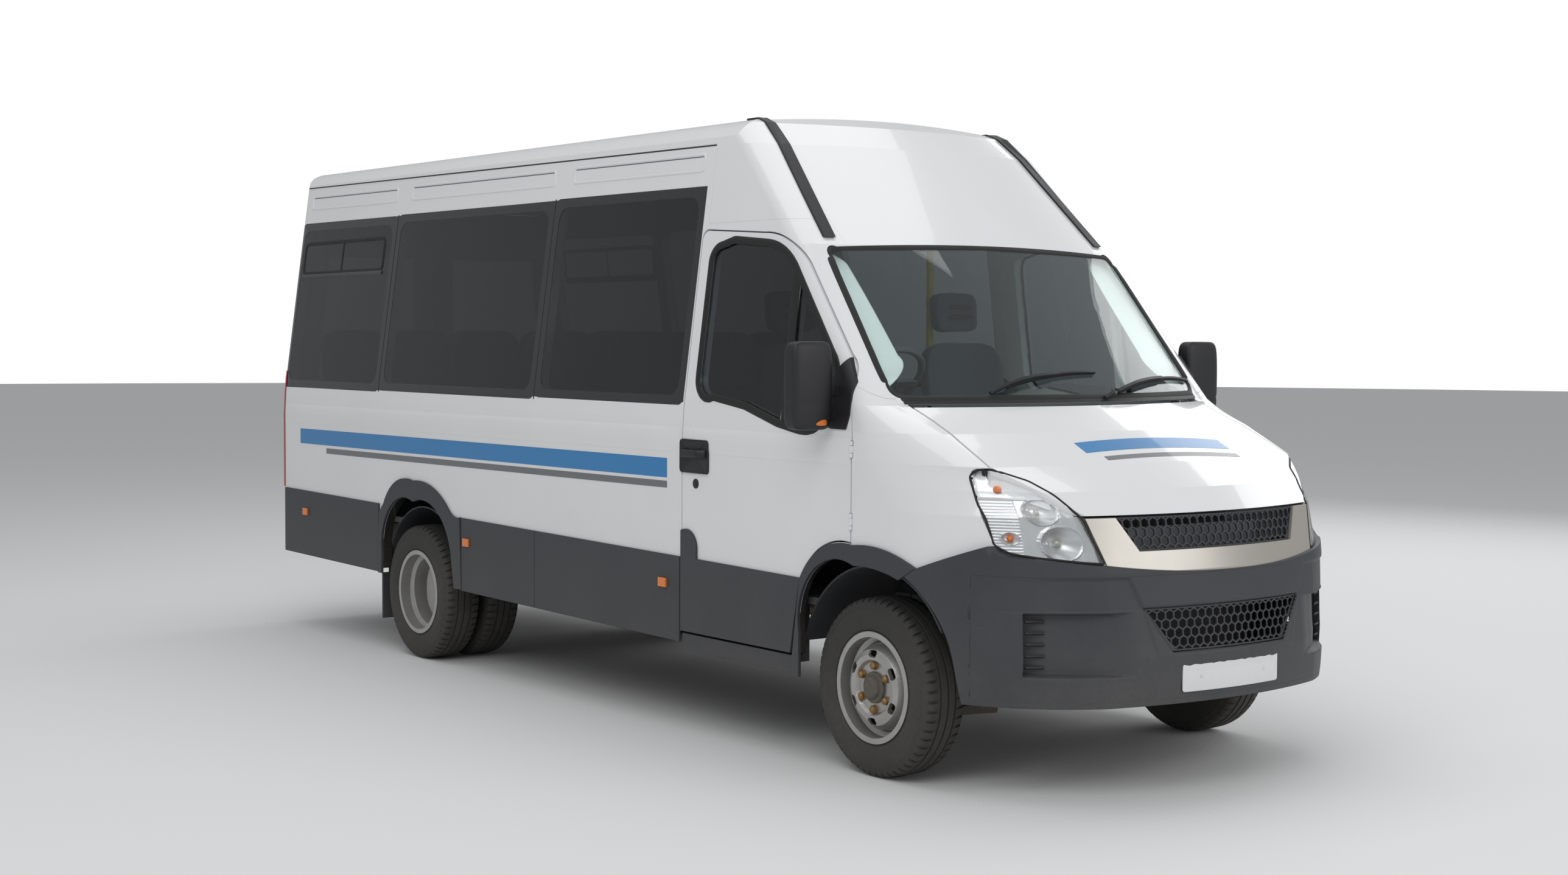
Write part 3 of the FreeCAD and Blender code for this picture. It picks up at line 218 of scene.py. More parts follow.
def box_grid(cuts):
    """The six faces of a box as one welded grid, with corners at plus and minus one."""
    index, verts, faces = {}, [], []

    def corner(place):
        """The number of the vertex at this place, which is added when it is new."""
        key = tuple(round(value * 1000) for value in place)
        if key not in index:
            index[key] = len(verts)
            verts.append(place)
        return index[key]

    for axis in range(3):
        for sign in (-1, 1):
            def spot(i, j):
                """The number of the vertex at this step of the face."""
                place = [0.0, 0.0, 0.0]
                place[axis] = float(sign)
                place[(axis + 1) % 3] = sign * (2 * i / cuts - 1)
                place[(axis + 2) % 3] = 2 * j / cuts - 1
                return corner(tuple(place))
            for i in range(cuts):
                for j in range(cuts):
                    faces.append((spot(i, j), spot(i + 1, j), spot(i + 1, j + 1), spot(i, j + 1)))
    return verts, faces


def moulded(name, size, centre, material, body, bevel=0.004, steps=3, turn=None):
    """A moulded block with rounded edges."""
    bm = bmesh.new()
    bmesh.ops.create_cube(bm, size=1.0)
    bmesh.ops.scale(bm, vec=Vector(size), verts=bm.verts)
    bmesh.ops.bevel(bm, geom=bm.edges[:], offset=bevel, segments=steps, profile=0.5, affect="EDGES")
    if turn:
        bmesh.ops.rotate(bm, cent=Vector((0, 0, 0)), matrix=turn, verts=bm.verts)
    bmesh.ops.translate(bm, vec=Vector(centre), verts=bm.verts)
    verts = [v.co.copy() for v in bm.verts]
    faces = [[v.index for v in f.verts] for f in bm.faces]
    bm.free()
    return add_piece(name, verts, faces, material, body)


# %% [markdown]
# ## Shared finish effects
# Paint, plastic and rubber all carry road dust near the ground, a little uneven gloss and a fine grain.
# Each effect is one node group, so that the same dust lies on every material, each with its own amount.

# %% Shared node groups


def new_group(name, inputs, outputs):
    """An empty shader group with float inputs and named outputs."""
    tree = bpy.data.node_groups.new(name, "ShaderNodeTree")
    for label, value in inputs.items():
        socket = tree.interface.new_socket(name=label, in_out="INPUT", socket_type="NodeSocketFloat")
        socket.default_value = value
    for label, kind in outputs.items():
        tree.interface.new_socket(name=label, in_out="OUTPUT", socket_type=kind)
    return tree, tree.nodes.new("NodeGroupInput"), tree.nodes.new("NodeGroupOutput")


def math_node(tree, operation, a, b=None, clamp=False):
    """One sum; a and b are numbers or sockets."""
    node = tree.nodes.new("ShaderNodeMath")
    node.operation = operation
    node.use_clamp = clamp
    for socket, value in zip(node.inputs, (a, b)):
        if value is None:
            continue
        if isinstance(value, (int, float)):
            socket.default_value = value
        else:
            tree.links.new(value, socket)
    return node.outputs[0]


def noise_node(tree, coords, scale, detail, rough=0.55):
    """Cloudy noise between 0 and 1; the scale is a number or a socket."""
    node = tree.nodes.new("ShaderNodeTexNoise")
    node.inputs["Detail"].default_value = detail
    node.inputs["Roughness"].default_value = rough
    if isinstance(scale, (int, float)):
        node.inputs["Scale"].default_value = scale
    else:
        tree.links.new(scale, node.inputs["Scale"])
    tree.links.new(coords, node.inputs["Vector"])
    return node.outputs["Fac"]


def dust_group():
    """Road dust: thick at the ground, gone above Top, broken up by two sizes of noise."""
    tree, given, result = new_group("road_dust", {"Top": 0.9, "Amount": 0.5}, {"Mask": "NodeSocketFloat"})
    coords = tree.nodes.new("ShaderNodeTexCoord").outputs["Object"]
    split = tree.nodes.new("ShaderNodeSeparateXYZ")
    tree.links.new(coords, split.inputs[0])
    height = math_node(tree, "DIVIDE", split.outputs["Z"], given.outputs["Top"])
    low = math_node(tree, "SUBTRACT", 1.0, height, True)
    patches = noise_node(tree, coords, 3.0, 6.0)
    fine = noise_node(tree, coords, 60.0, 3.0)
    broken = math_node(tree, "MULTIPLY", patches, math_node(tree, "ADD", fine, 0.5))
    spread = math_node(tree, "MULTIPLY", low, broken)
    mask = math_node(tree, "MULTIPLY", spread, given.outputs["Amount"], True)
    tree.links.new(mask, result.inputs["Mask"])
    return tree


def mottle_group():
    """Slow, soft change between 0 and 1 that keeps a large surface from looking printed."""
    tree, given, result = new_group("mottle", {"Scale": 4.0}, {"Value": "NodeSocketFloat"})
    coords = tree.nodes.new("ShaderNodeTexCoord").outputs["Object"]
    tree.links.new(noise_node(tree, coords, given.outputs["Scale"], 5.0, 0.6), result.inputs["Value"])
    return tree


def grain_group():
    """The fine leather-like grain of moulded plastic, as a height."""
    tree, given, result = new_group("moulded_grain", {"Scale": 700.0}, {"Height": "NodeSocketFloat"})
    coords = tree.nodes.new("ShaderNodeTexCoord").outputs["Object"]
    cells = tree.nodes.new("ShaderNodeTexVoronoi")
    tree.links.new(coords, cells.inputs["Vector"])
    tree.links.new(given.outputs["Scale"], cells.inputs["Scale"])
    tree.links.new(cells.outputs["Distance"], result.inputs["Height"])
    return tree


def soft_edge_group():
    """Rounds hard edges in the light by bending the normal within Radius of them."""
    tree, given, result = new_group("soft_edges", {"Radius": 0.003}, {"Normal": "NodeSocketVector"})
    edge = tree.nodes.new("ShaderNodeBevel")
    edge.samples = 4
    tree.links.new(given.outputs["Radius"], edge.inputs["Radius"])
    tree.links.new(edge.outputs["Normal"], result.inputs["Normal"])
    return tree


groups = {"dust": dust_group(), "mottle": mottle_group(), "grain": grain_group(), "soft": soft_edge_group()}
print("groups:", list(groups))

# %% [markdown]
# ## The finishes
# One maker builds every opaque finish: a base colour that dust covers from below, gloss that varies a little,
# grain as a bump, and soft edges. The constants sit on the shader's own sockets; only what changes over the
# surface is linked.

# %% Finish maker


def place_group(tree, key, **values):
    """One of the shared groups, placed in a material with its own values."""
    node = tree.nodes.new("ShaderNodeGroup")
    node.node_tree = groups[key]
    for label, value in values.items():
        node.inputs[label].default_value = value
    return node.outputs[0]


def mix_colours(tree, fac, a, b):
    """Colour a where fac is 0 and b where it is 1."""
    node = tree.nodes.new("ShaderNodeMix")
    node.data_type = "RGBA"
    tree.links.new(fac, node.inputs[0])
    # The Mix node's colour sockets come after those for numbers and vectors
    for socket, value in ((node.inputs[6], a), (node.inputs[7], b)):
        if isinstance(value, tuple):
            socket.default_value = value + (1.0,)
        else:
            tree.links.new(value, socket)
    return node.outputs[2]


def spread(tree, value, low, high):
    """Maps 0..1 to low..high."""
    return math_node(tree, "ADD", math_node(tree, "MULTIPLY", value, high - low), low)


DUST = (0.30, 0.27, 0.23)
DUST_ROUGHNESS = 0.4
# A finish's second colour is its first one, a little darker, unless it gives one
SECOND_SHADE = 0.93
COAT_ROUGHNESS = 0.04
GRAIN_STRENGTH = 0.6
UNDERSEAL = (0.012, 0.012, 0.012)
# Where underseal takes over from paint: below z, from x0 to x1 and inside the half-width y, or below the skirt
LINED = {"z": 0.868, "y": 0.9868, "x0": -2.02, "x1": 2.26, "skirt": 0.600}


def underseal_mask(tree):
    """1 on the hidden inner faces of a panel beside the wheels, and 0 elsewhere."""
    place = tree.nodes.new("ShaderNodeTexCoord")
    split = tree.nodes.new("ShaderNodeSeparateXYZ")
    tree.links.new(place.outputs["Object"], split.inputs[0])
    across = math_node(tree, "ABSOLUTE", split.outputs[1], 0.0)
    low = math_node(tree, "LESS_THAN", split.outputs[2], LINED["z"])
    skirt = math_node(tree, "LESS_THAN", split.outputs[2], LINED["skirt"])
    inner = math_node(tree, "MAXIMUM", math_node(tree, "LESS_THAN", across, LINED["y"]), skirt)
    ahead = math_node(tree, "GREATER_THAN", split.outputs[0], LINED["x0"])
    behind = math_node(tree, "LESS_THAN", split.outputs[0], LINED["x1"])
    between = math_node(tree, "MULTIPLY", ahead, behind)
    return math_node(tree, "MULTIPLY", math_node(tree, "MULTIPLY", low, inner), between)


def finish(name, colour, rough, second=None, metallic=0.0, coat=0.0, grain=None, dust=(0.9, 0.4), soft=0.003,
           mottle=4.0, sheen=0.0, lined=False):
    """A material: two near colours, a roughness range, grain as (scale, height) and dust as (top, amount).

    A lined panel is black with underseal on its inner faces beside the wheels.
    """
    mat = bpy.data.materials.new(name)
    mat.use_nodes = True
    tree = mat.node_tree
    shader = tree.nodes["Principled BSDF"]
    shader.inputs["Metallic"].default_value = metallic
    shader.inputs["Coat Weight"].default_value = coat
    shader.inputs["Coat Roughness"].default_value = COAT_ROUGHNESS
    shader.inputs["Sheen Weight"].default_value = sheen
    varied = place_group(tree, "mottle", Scale=mottle)
    mask = place_group(tree, "dust", Top=dust[0], Amount=dust[1])
    base = mix_colours(tree, varied, colour, second or tuple(c * SECOND_SHADE for c in colour))
    if lined:
        base = mix_colours(tree, underseal_mask(tree), base, UNDERSEAL)
    tree.links.new(mix_colours(tree, mask, base, DUST), shader.inputs["Base Color"])
    dusty = math_node(tree, "MULTIPLY", mask, DUST_ROUGHNESS)
    gloss = math_node(tree, "ADD", spread(tree, varied, *rough), dusty, True)
    tree.links.new(gloss, shader.inputs["Roughness"])
    normal = place_group(tree, "soft", Radius=soft)
    if grain:
        bump = tree.nodes.new("ShaderNodeBump")
        bump.inputs["Distance"].default_value = grain[1]
        bump.inputs["Strength"].default_value = GRAIN_STRENGTH
        tree.links.new(place_group(tree, "grain", Scale=grain[0]), bump.inputs["Height"])
        tree.links.new(normal, bump.inputs["Normal"])
        normal = bump.outputs["Normal"]
    tree.links.new(normal, shader.inputs["Normal"])
    return mat


def glass(name, tint, shade=None):
    """Pane glass. Lamps reach the cabin through a tinted transparent shader that only shadow rays see."""
    mat = bpy.data.materials.new(name)
    mat.use_nodes = True
    tree = mat.node_tree
    shader = tree.nodes["Principled BSDF"]
    shader.inputs["Base Color"].default_value = tint + (1.0,)
    shader.inputs["Roughness"].default_value = 0.0
    shader.inputs["Transmission Weight"].default_value = 1.0
    shader.inputs["IOR"].default_value = 1.45
    clear = tree.nodes.new("ShaderNodeBsdfTransparent")
    clear.inputs["Color"].default_value = (shade or tint) + (1.0,)
    mix = tree.nodes.new("ShaderNodeMixShader")
    path = tree.nodes.new("ShaderNodeLightPath")
    tree.links.new(path.outputs["Is Shadow Ray"], mix.inputs[0])
    tree.links.new(shader.outputs[0], mix.inputs[1])
    tree.links.new(clear.outputs[0], mix.inputs[2])
    tree.links.new(mix.outputs[0], tree.nodes["Material Output"].inputs["Surface"])
    return mat


# %% Finishes of the bus
looks = {
    "body_white": finish("white_paint", (0.84, 0.85, 0.86), (0.16, 0.26), coat=0.7, dust=(0.95, 0.35),
                         mottle=2.0, lined=True),
    "bumper_charcoal": finish("charcoal_plastic", (0.030, 0.033, 0.040), (0.42, 0.62), (0.045, 0.048, 0.056),
                              grain=(900.0, 0.0003), dust=(1.0, 0.30), mottle=3.0, soft=0.006),
    "trim_black": finish("black_plastic", (0.014, 0.014, 0.016), (0.38, 0.55), grain=(1100.0, 0.0002),
                         dust=(0.8, 0.2)),
    "grille_silver": finish("champagne_paint", (0.52, 0.49, 0.44), (0.26, 0.36), metallic=0.55,
                            dust=(0.9, 0.15)),
    "lamp_body": finish("reflector_silver", (0.66, 0.67, 0.68), (0.20, 0.32), metallic=0.6, dust=(0.5, 0.0)),
    "lamp_red": finish("red_lens", (0.45, 0.006, 0.008), (0.06, 0.12), coat=0.5, dust=(0.9, 0.2)),
    "marker_orange": finish("orange_lens", (0.85, 0.20, 0.01), (0.10, 0.2), coat=0.5, dust=(0.8, 0.3)),
    "cab_grey": finish("cabin_plastic", (0.075, 0.077, 0.082), (0.5, 0.7), grain=(800.0, 0.0003),
                       dust=(0.9, 0.15)),
    "seat_fabric": finish("seat_cloth", (0.050, 0.056, 0.075), (0.85, 0.95), (0.07, 0.08, 0.10), sheen=0.3,
                          grain=(1500.0, 0.0005), dust=(0.9, 0.05), mottle=30.0),
    "steel_dark": finish("chassis_black", (0.022, 0.021, 0.020), (0.45, 0.75), (0.045, 0.030, 0.020),
                         dust=(0.9, 0.8), mottle=9.0),
    "pole_steel": finish("yellow_rail", (0.75, 0.55, 0.04), (0.25, 0.4), coat=0.3, dust=(0.9, 0.0)),
    "engine_cast": finish("cast_iron", (0.10, 0.10, 0.10), (0.5, 0.8), (0.16, 0.14, 0.12), metallic=0.5,
                          dust=(1.0, 0.8)),
    "radiator_alloy": finish("radiator_alloy", (0.25, 0.25, 0.26), (0.4, 0.6), metallic=0.7, dust=(1.0, 0.5)),
    "exhaust_steel": finish("exhaust_steel", (0.22, 0.17, 0.12), (0.45, 0.8), (0.12, 0.07, 0.04),
                            metallic=0.7, dust=(0.9, 0.7), mottle=12.0),
    "rim_silver": finish("wheel_silver", (0.50, 0.51, 0.52), (0.26, 0.42), (0.40, 0.38, 0.35),
                         metallic=0.75, dust=(0.9, 0.25), mottle=14.0),
    "tyre_rubber": finish("tyre_rubber", (0.018, 0.018, 0.018), (0.62, 0.85), (0.026, 0.026, 0.026),
                          grain=(600.0, 0.0002), dust=(0.6, 0.22), mottle=20.0),
    "tinted_glass": glass("tinted_glass", (0.14, 0.15, 0.16), (0.20, 0.21, 0.22)),
    "clear_glass": glass("windscreen_glass", (0.82, 0.90, 0.88), (0.86, 0.92, 0.90)),
    "lamp_clear": glass("lamp_lens", (0.96, 0.97, 0.97)),
}
rubber_seal = finish("seal_rubber", (0.010, 0.010, 0.010), (0.5, 0.7), dust=(0.9, 0.2))
rusty_gold = finish("rusty_gold_nut", (0.42, 0.27, 0.09), (0.35, 0.7), (0.20, 0.10, 0.04), metallic=0.8,
                    dust=(0.9, 0.3), mottle=60.0)
for name, obj in nodes.items():
    obj.data.materials.clear()
    obj.data.materials.append(looks[slot_of[name]])
print("finishes:", len(looks))

# %% [markdown]
# ## Studio and camera
# The bus stands on a plain, level, pale floor, under a large soft key lamp, three weaker ones and an even
# world. The camera is where the photographer stood: to the right and ahead, at about eye height, with a
# longish lens.

# %% Floor, lights and camera
FLOOR_COLOUR = (0.80, 0.80, 0.80)
FLOOR_ROUGHNESS = 0.9
FLOOR_RADII = (0.001, 4, 12, 60)
FLOOR_STEPS = 64
WORLD_COLOUR, WORLD_LIGHT = (0.96, 0.98, 1.0, 1.0), 0.42
# Lamps: name, place, what it points at, width and depth, watts
LAMPS = (("key", (7.0, -8.0, 8.5), (0, 0, 1.2), (9, 6), 390),
         ("front_fill", (11.0, 4.0, 5.0), (1, 0, 1.2), (6, 5), 210),
         ("top", (-1.0, 0.0, 9.5), (0, 0, 0), (11, 7), 280),
         ("left_fill", (-2.0, 10.0, 6.0), (0, 0, 1.2), (9, 5), 240))
CAMERA_PLACE = (8.714, -6.164, 1.727)
# Turn about Z, tilt about X and roll, in degrees
CAMERA_TURN, CAMERA_TILT, CAMERA_ROLL = 53.45, 87.33, 0.27
LENS_MM, SENSOR_MM, LENS_SHIFT = 49.63, 36.0, -0.0038


def floor_finish():
    """Plain matt paper."""
    mat = bpy.data.materials.new("studio_floor")
    mat.use_nodes = True
    shader = mat.node_tree.nodes["Principled BSDF"]
    shader.inputs["Base Color"].default_value = FLOOR_COLOUR + (1.0,)
    shader.inputs["Roughness"].default_value = FLOOR_ROUGHNESS
    return mat


def area_light(name, place, target, size, watts):
    """A large soft lamp that points at a target."""
    data = bpy.data.lights.new(name, "AREA")
    data.shape = "RECTANGLE"
    data.size, data.size_y = size
    data.energy = watts
    lamp = placed(name, data)
    lamp.location = place
    lamp.rotation_euler = (Vector(target) - Vector(place)).to_track_quat("-Z", "Y").to_euler()
    return lamp


def studio_floor():
    """A level floor, made of rings so that it runs far out."""
    rings = [[Vector((x, y, 0.0)) for x, y in circle(r, FLOOR_STEPS)] for r in FLOOR_RADII]
    verts, faces = join_rings(rings)
    mesh = bpy.data.meshes.new("floor_sheet")
    mesh.from_pydata([tuple(v) for v in verts], [], flipped(faces))
    mesh.materials.append(floor_finish())
    obj = placed("studio_floor", mesh)
    return obj


def studio_world():
    """Even soft light; the camera and clear glass see plain white behind the bus."""
    world = bpy.data.worlds.new("studio")
    bpy.context.scene.world = world
    world.use_nodes = True
    tree = world.node_tree
    lit = tree.nodes["Background"]
    lit.inputs["Color"].default_value = WORLD_COLOUR
    lit.inputs["Strength"].default_value = WORLD_LIGHT
    seen = tree.nodes.new("ShaderNodeBackground")
    seen.inputs["Color"].default_value = (1.0, 1.0, 1.0, 1.0)
    seen.inputs["Strength"].default_value = 1.0
    mix = tree.nodes.new("ShaderNodeMixShader")
    path = tree.nodes.new("ShaderNodeLightPath")
    tree.links.new(path.outputs["Is Camera Ray"], mix.inputs[0])
    tree.links.new(lit.outputs[0], mix.inputs[1])
    tree.links.new(seen.outputs[0], mix.inputs[2])
    tree.links.new(mix.outputs[0], tree.nodes["World Output"].inputs["Surface"])


def studio_camera():
    """The photographer's camera."""
    data = bpy.data.cameras.new("camera")
    data.lens = LENS_MM
    data.sensor_width = SENSOR_MM
    data.shift_y = LENS_SHIFT
    obj = placed("camera", data)
    turns = ((CAMERA_TURN, "Z"), (CAMERA_TILT, "X"), (CAMERA_ROLL, "Z"))
    turn, tilt, roll = [Matrix.Rotation(math.radians(angle), 3, axis) for angle, axis in turns]
    obj.matrix_world = Matrix.Translation(CAMERA_PLACE) @ ((turn @ tilt) @ roll).to_4x4()
    return obj


studio_floor()
studio_world()
for lamp in LAMPS:
    area_light(*lamp)
camera = studio_camera()
bpy.context.scene.camera = camera
bpy.context.scene.view_settings.view_transform = "Standard"
print("camera at", tuple(round(v, 3) for v in camera.location))

# %% [markdown]
# ## Tyres
# A van tyre is a bulging casing with a ribbed tread: three grooves run round it, and short slots cut the
# shoulders into blocks. The casing is one outline turned about the axle; where a slot falls, the shoulder's
# points drop by the groove's depth. Columns of points stand on both edges of every slot, so that the edges
# stay crisp.

# %% Tyres
TYRE_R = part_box("front_tyre_right")[1].z / 2
TYRE_HALF_W = 0.0975
TREAD_DEPTH = 0.008
# The tread falls by CROWN_DROP at CROWN_HALF from its middle
CROWN_DROP, CROWN_HALF = 0.0022, 0.06
GROOVE_MIDDLES, GROOVE_HALF, GROOVE_FLOOR = (-0.036, 0.0, 0.036), 0.0045, 0.6
# Pitches round the tyre, and the columns of each: where in the pitch, and whether it lies in the slot
PITCHES = 56
COLUMNS = ((0.0, 0), (0.36, 0), (0.70, 0), (0.73, 1), (0.97, 1))
# The shoulder slots slant by this share of their distance from the middle
SLANT = 0.02 / 0.09
# Sidewall outline from the bead outwards: across, radius
SIDEWALL = [(0.0795, 0.2035), (0.0835, 0.214), (0.0865, 0.224), (0.0885, 0.2265), (0.0905, 0.2265),
            (0.0925, 0.235), (0.0955, 0.250), (0.0970, 0.268), (0.0975, 0.284), (0.0965, 0.300),
            (0.0950, 0.306), (0.0962, 0.308), (0.0955, 0.312), (0.0938, 0.314), (0.0915, 0.324)]
# Shoulder points, which the slots lower: across, radius, share of the slot's depth
SHOULDER = [(0.0890, 0.3330, 0.4), (0.0850, 0.3385, 0.8), (0.0790, 0.3430, 1.0), (0.0720, 0.3458, 1.0),
            (0.0640, 0.3475, 1.0)]
# The casing's inner wall: across, radius
INNER_WALL = [(-0.064, 0.2035), (-0.062, 0.322), (0.062, 0.322), (0.064, 0.2035)]


def tread_points():
    """Across the tread, groove by groove: across, radius, no share of a slot's depth."""
    out = []
    for middle in GROOVE_MIDDLES:
        floor = GROOVE_HALF * GROOVE_FLOOR
        for shift, drop in ((-GROOVE_HALF, 0), (-floor, TREAD_DEPTH), (floor, TREAD_DEPTH), (GROOVE_HALF, 0)):
            y = middle + shift
            out.append((y, TYRE_R - CROWN_DROP * (y / CROWN_HALF) ** 2 - drop, 0.0))
    return out


def tyre_mesh(name):
    """The whole tyre as one outline turned about the axle."""
    near = [(y, r, 0.0) for y, r in SIDEWALL] + SHOULDER
    far = [(-y, r, share) for y, r, share in reversed(near)]
    outline = near + tread_points()[::-1] + far + [(y, r, 0.0) for y, r in INNER_WALL]
    rings = []
    for i in range(PITCHES):
        for place, cut in COLUMNS:
            angle = math.tau * (i + place) / PITCHES
            ring = []
            for y, r, share in outline:
                turn = angle + (SLANT * y if share else 0.0)
                low = r - cut * share * TREAD_DEPTH
                ring.append(Vector((low * math.cos(turn), y, low * math.sin(turn))))
            rings.append(ring)
    verts, faces = join_rings(rings, closed_ring=True, closed_run=True)
    mesh = bpy.data.meshes.new(name)
    mesh.from_pydata([tuple(v) for v in verts], [], faces)
    mesh.polygons.foreach_set("use_smooth", [True] * len(mesh.polygons))
    mesh.set_sharp_from_angle(angle=math.radians(32))
    mesh.materials.append(looks["tyre_rubber"])
    return mesh


def place_tyres():
    """One mesh on every wheel, twice on the rear ones."""
    mesh = tyre_mesh("van_tyre")
    for tag, _ in SIDES:
        for end, twins in (("front", 1), ("rear", 2)):
            node = "front_tyre_" + tag if end == "front" else "rear_tyres_" + tag
            low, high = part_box(node)
            spots = [(low.y + high.y) / 2] if twins == 1 else [low.y + TYRE_HALF_W, high.y - TYRE_HALF_W]
            for i, y in enumerate(spots):
                obj = placed("tyre_%s_%s_%d" % (end, tag, i), mesh)
                obj.location = ((low.x + high.x) / 2, y, TYRE_R)
                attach(obj, "wheel_%s_%s" % (end, tag))
                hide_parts(node)
    return mesh


tyre = place_tyres()
print("tyre triangles:", 2 * len(tyre.polygons))

# %% [markdown]
# ## Wheel nuts and hub caps
# Six hexagonal nuts with rounded ends hold each wheel; road salt has turned their plating a rusty gold. The
# front hub's dark cap shows in the middle. A nut is a stack of six-sided rings that turns into a round dome.

# %% Wheel nuts and hubs
NUTS, NUT_CIRCLE_R, NUT_R = 6, 0.085, 0.0155
NUT_STEPS = 18
# Rings of a nut from its foot: how far out, share of its radius, six-sided or round
NUT_RINGS = ((0.0, 1.18, 0), (0.004, 1.18, 0), (0.0042, 1.0, 1), (0.015, 1.0, 1), (0.017, 0.88, 0),
             (0.021, 0.66, 0), (0.0235, 0.34, 0), (0.0242, 0.05, 0))
# A round ring's size beside a six-sided one, whose corners have the full radius
ROUND_SHARE = 0.93
# The front cap's outline: how far out, radius
HUB_CAP = [(0.0, 0.062), (0.010, 0.061), (0.014, 0.056), (0.014, 0.044), (0.024, 0.041), (0.028, 0.036),
           (0.029, 0.0005)]
# The disc's face is found on this line out from the hub, which misses the holes in it
FACE_ANGLE = 0.3


def nut_shape(centre, out):
    """Rings of a domed hexagonal nut along out (a Y direction)."""
    rings = []
    for depth, size, hexed in NUT_RINGS:
        ring = []
        for k in range(NUT_STEPS):
            a = math.tau * k / NUT_STEPS
            corner = math.cos(math.pi / 6) / math.cos((a % (math.pi / 3)) - math.pi / 6)
            r = NUT_R * size * (corner if hexed else ROUND_SHARE)
            ring.append(centre + Vector((r * math.cos(a), out * depth, r * math.sin(a))))
        rings.append(ring)
    return join_rings(rings, caps=True)


def nut_ring(name, axle_x, face_y, out, body):
    """All the nuts of one wheel as one piece."""
    verts, faces = [], []
    for i in range(NUTS):
        a = math.tau * (i + 0.5) / NUTS
        centre = Vector((axle_x + NUT_CIRCLE_R * math.cos(a), face_y, TYRE_R + NUT_CIRCLE_R * math.sin(a)))
        nut_verts, nut_faces = nut_shape(centre, out)
        faces += [tuple(len(verts) + j for j in face) for face in nut_faces]
        verts += nut_verts
    obj = add_piece(name, verts, faces, rusty_gold, body, 40)
    return obj


def hub_cap(name, axle_x, face_y, out, body):
    """The front hub's cap, turned about the axle."""
    verts, faces = turned(HUB_CAP, Vector((axle_x, face_y, TYRE_R)), 48, out)
    obj = add_piece(name, verts, faces, looks["steel_dark"], body, 30)
    return obj


def face_of_wheel(node, axle_x, radius, side):
    """Where a level line from outside meets the wheel's disc at this radius."""
    x, z = axle_x + radius * math.cos(FACE_ANGLE), TYRE_R + radius * math.sin(FACE_ANGLE)
    point, _ = hit_side(surface(node), x, z, side)
    return point.y


for tag, side in SIDES:
    for end, node in (("front", "front_rim_" + tag), ("rear", "rear_rims_" + tag)):
        low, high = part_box(node)
        axle_x = (low.x + high.x) / 2
        face_y = face_of_wheel(node, axle_x, NUT_CIRCLE_R, side)
        body = "wheel_%s_%s" % (end, tag)
        nut_ring("nuts_%s_%s" % (end, tag), axle_x, face_y, side, body)
        if end == "front":
            hub_cap("hub_cap_%s" % tag, axle_x, face_y, side, body)
print("nuts on", 2 * len(SIDES), "wheels, caps on the front two")

# %% [markdown]
# ## Rubber seals round the glass
# Each bonded or rubber-mounted pane has a black edge. A bead is swept along the opening's outline: level
# lines are cast from outside onto the panel, and a half-round section follows the points found. Round the
# door's window the line runs a little outside the opening, so that every point of it lands on the door and
# none on the glass behind.

# %% Seals
# The door's window opening as (x, z) in millimetres; a row of four is an arc's middle and its end
DOOR_OPENING = [(1089, 1540), (1089, 2010), (1105, 2060, 1150, 2080), (1238, 2100), (1480, 2080),
                (1590, 2050, 1680, 1985), (1985, 1635), (2025, 1580, 2030, 1480), (1960, 1370, 1830, 1340),
                (1679, 1364), (1441, 1427), (1210, 1457), (1110, 1475, 1089, 1540)]
SEAL_OUT = 0.010
# The post between the door's main and front window
QUARTER_BAR = [(1701, 1958), (1726, 1364)]
# Half of the windscreen's outline as (y, z) in millimetres, from the middle of its foot to that of its top
SCREEN_HALF = [(836, 1465), (846, 1540), (803, 2030), (780, 2066)]
SCREEN_EDGE = ([(-836, 1465), (0, 1465)] + SCREEN_HALF + [(0, 2084)]
               + [(-y, z) for y, z in SCREEN_HALF[:0:-1]])
SCREEN_PANELS = ["windscreen", "roof", "scuttle", "front_wings", "side_right", "side_left"]
BEAD_STEP = 0.02


def arc(start, middle, end, steps=6):
    """Points after the start along the circle through three (x, z) places."""
    (ax, ay), (bx, by), (cx, cy) = start, middle, end
    a2, b2, c2 = [x * x + y * y for x, y in (start, middle, end)]
    d = 2 * (ax * (by - cy) + bx * (cy - ay) + cx * (ay - by))
    ux = (a2 * (by - cy) + b2 * (cy - ay) + c2 * (ay - by)) / d
    uy = (a2 * (cx - bx) + b2 * (ax - cx) + c2 * (bx - ax)) / d
    r = math.hypot(ax - ux, ay - uy)
    first, between, last = [math.atan2(y - uy, x - ux) for x, y in (start, middle, end)]
    swing = (last - first) % math.tau
    if (between - first) % math.tau > swing:
        swing -= math.tau
    turns = [first + swing * k / steps for k in range(1, steps + 1)]
    return [(ux + r * math.cos(a), uy + r * math.sin(a)) for a in turns]


def outline_of(rows):
    """Turns rows of corners and arcs into a closed run of points."""
    points = [rows[0]]
    for row in rows[1:]:
        points += [row] if len(row) == 2 else arc(points[-1], row[:2], row[2:])
    return points[:-1] if math.dist(points[-1], points[0]) < 1 else points


def moved_out(line, distance):
    """A closed (x, z) run of points moved away from its inside."""
    after = line[1:] + line[:1]
    turn = math.copysign(distance, sum(a.x * b.z - b.x * a.z for a, b in zip(line, after)))
    run = [(b - a).normalized() for a, b in zip([line[-1]] + line[:-1], after)]
    return [p + Vector((t.z, 0, -t.x)) * turn for p, t in zip(line, run)]


def bead(name, hits, body, width, height, material, closed, sink=0.002):
    """A half-round bead along the points where lines met the panels; misses are left out."""
    found = [(point, normal) for point, normal in hits if point is not None]
    points, normals = [point for point, _ in found], [normal for _, normal in found]
    verts, faces = sweep(points, normals, half_round(width, height, sink), closed)
    return add_piece(name, verts, faces, material, body, 50)


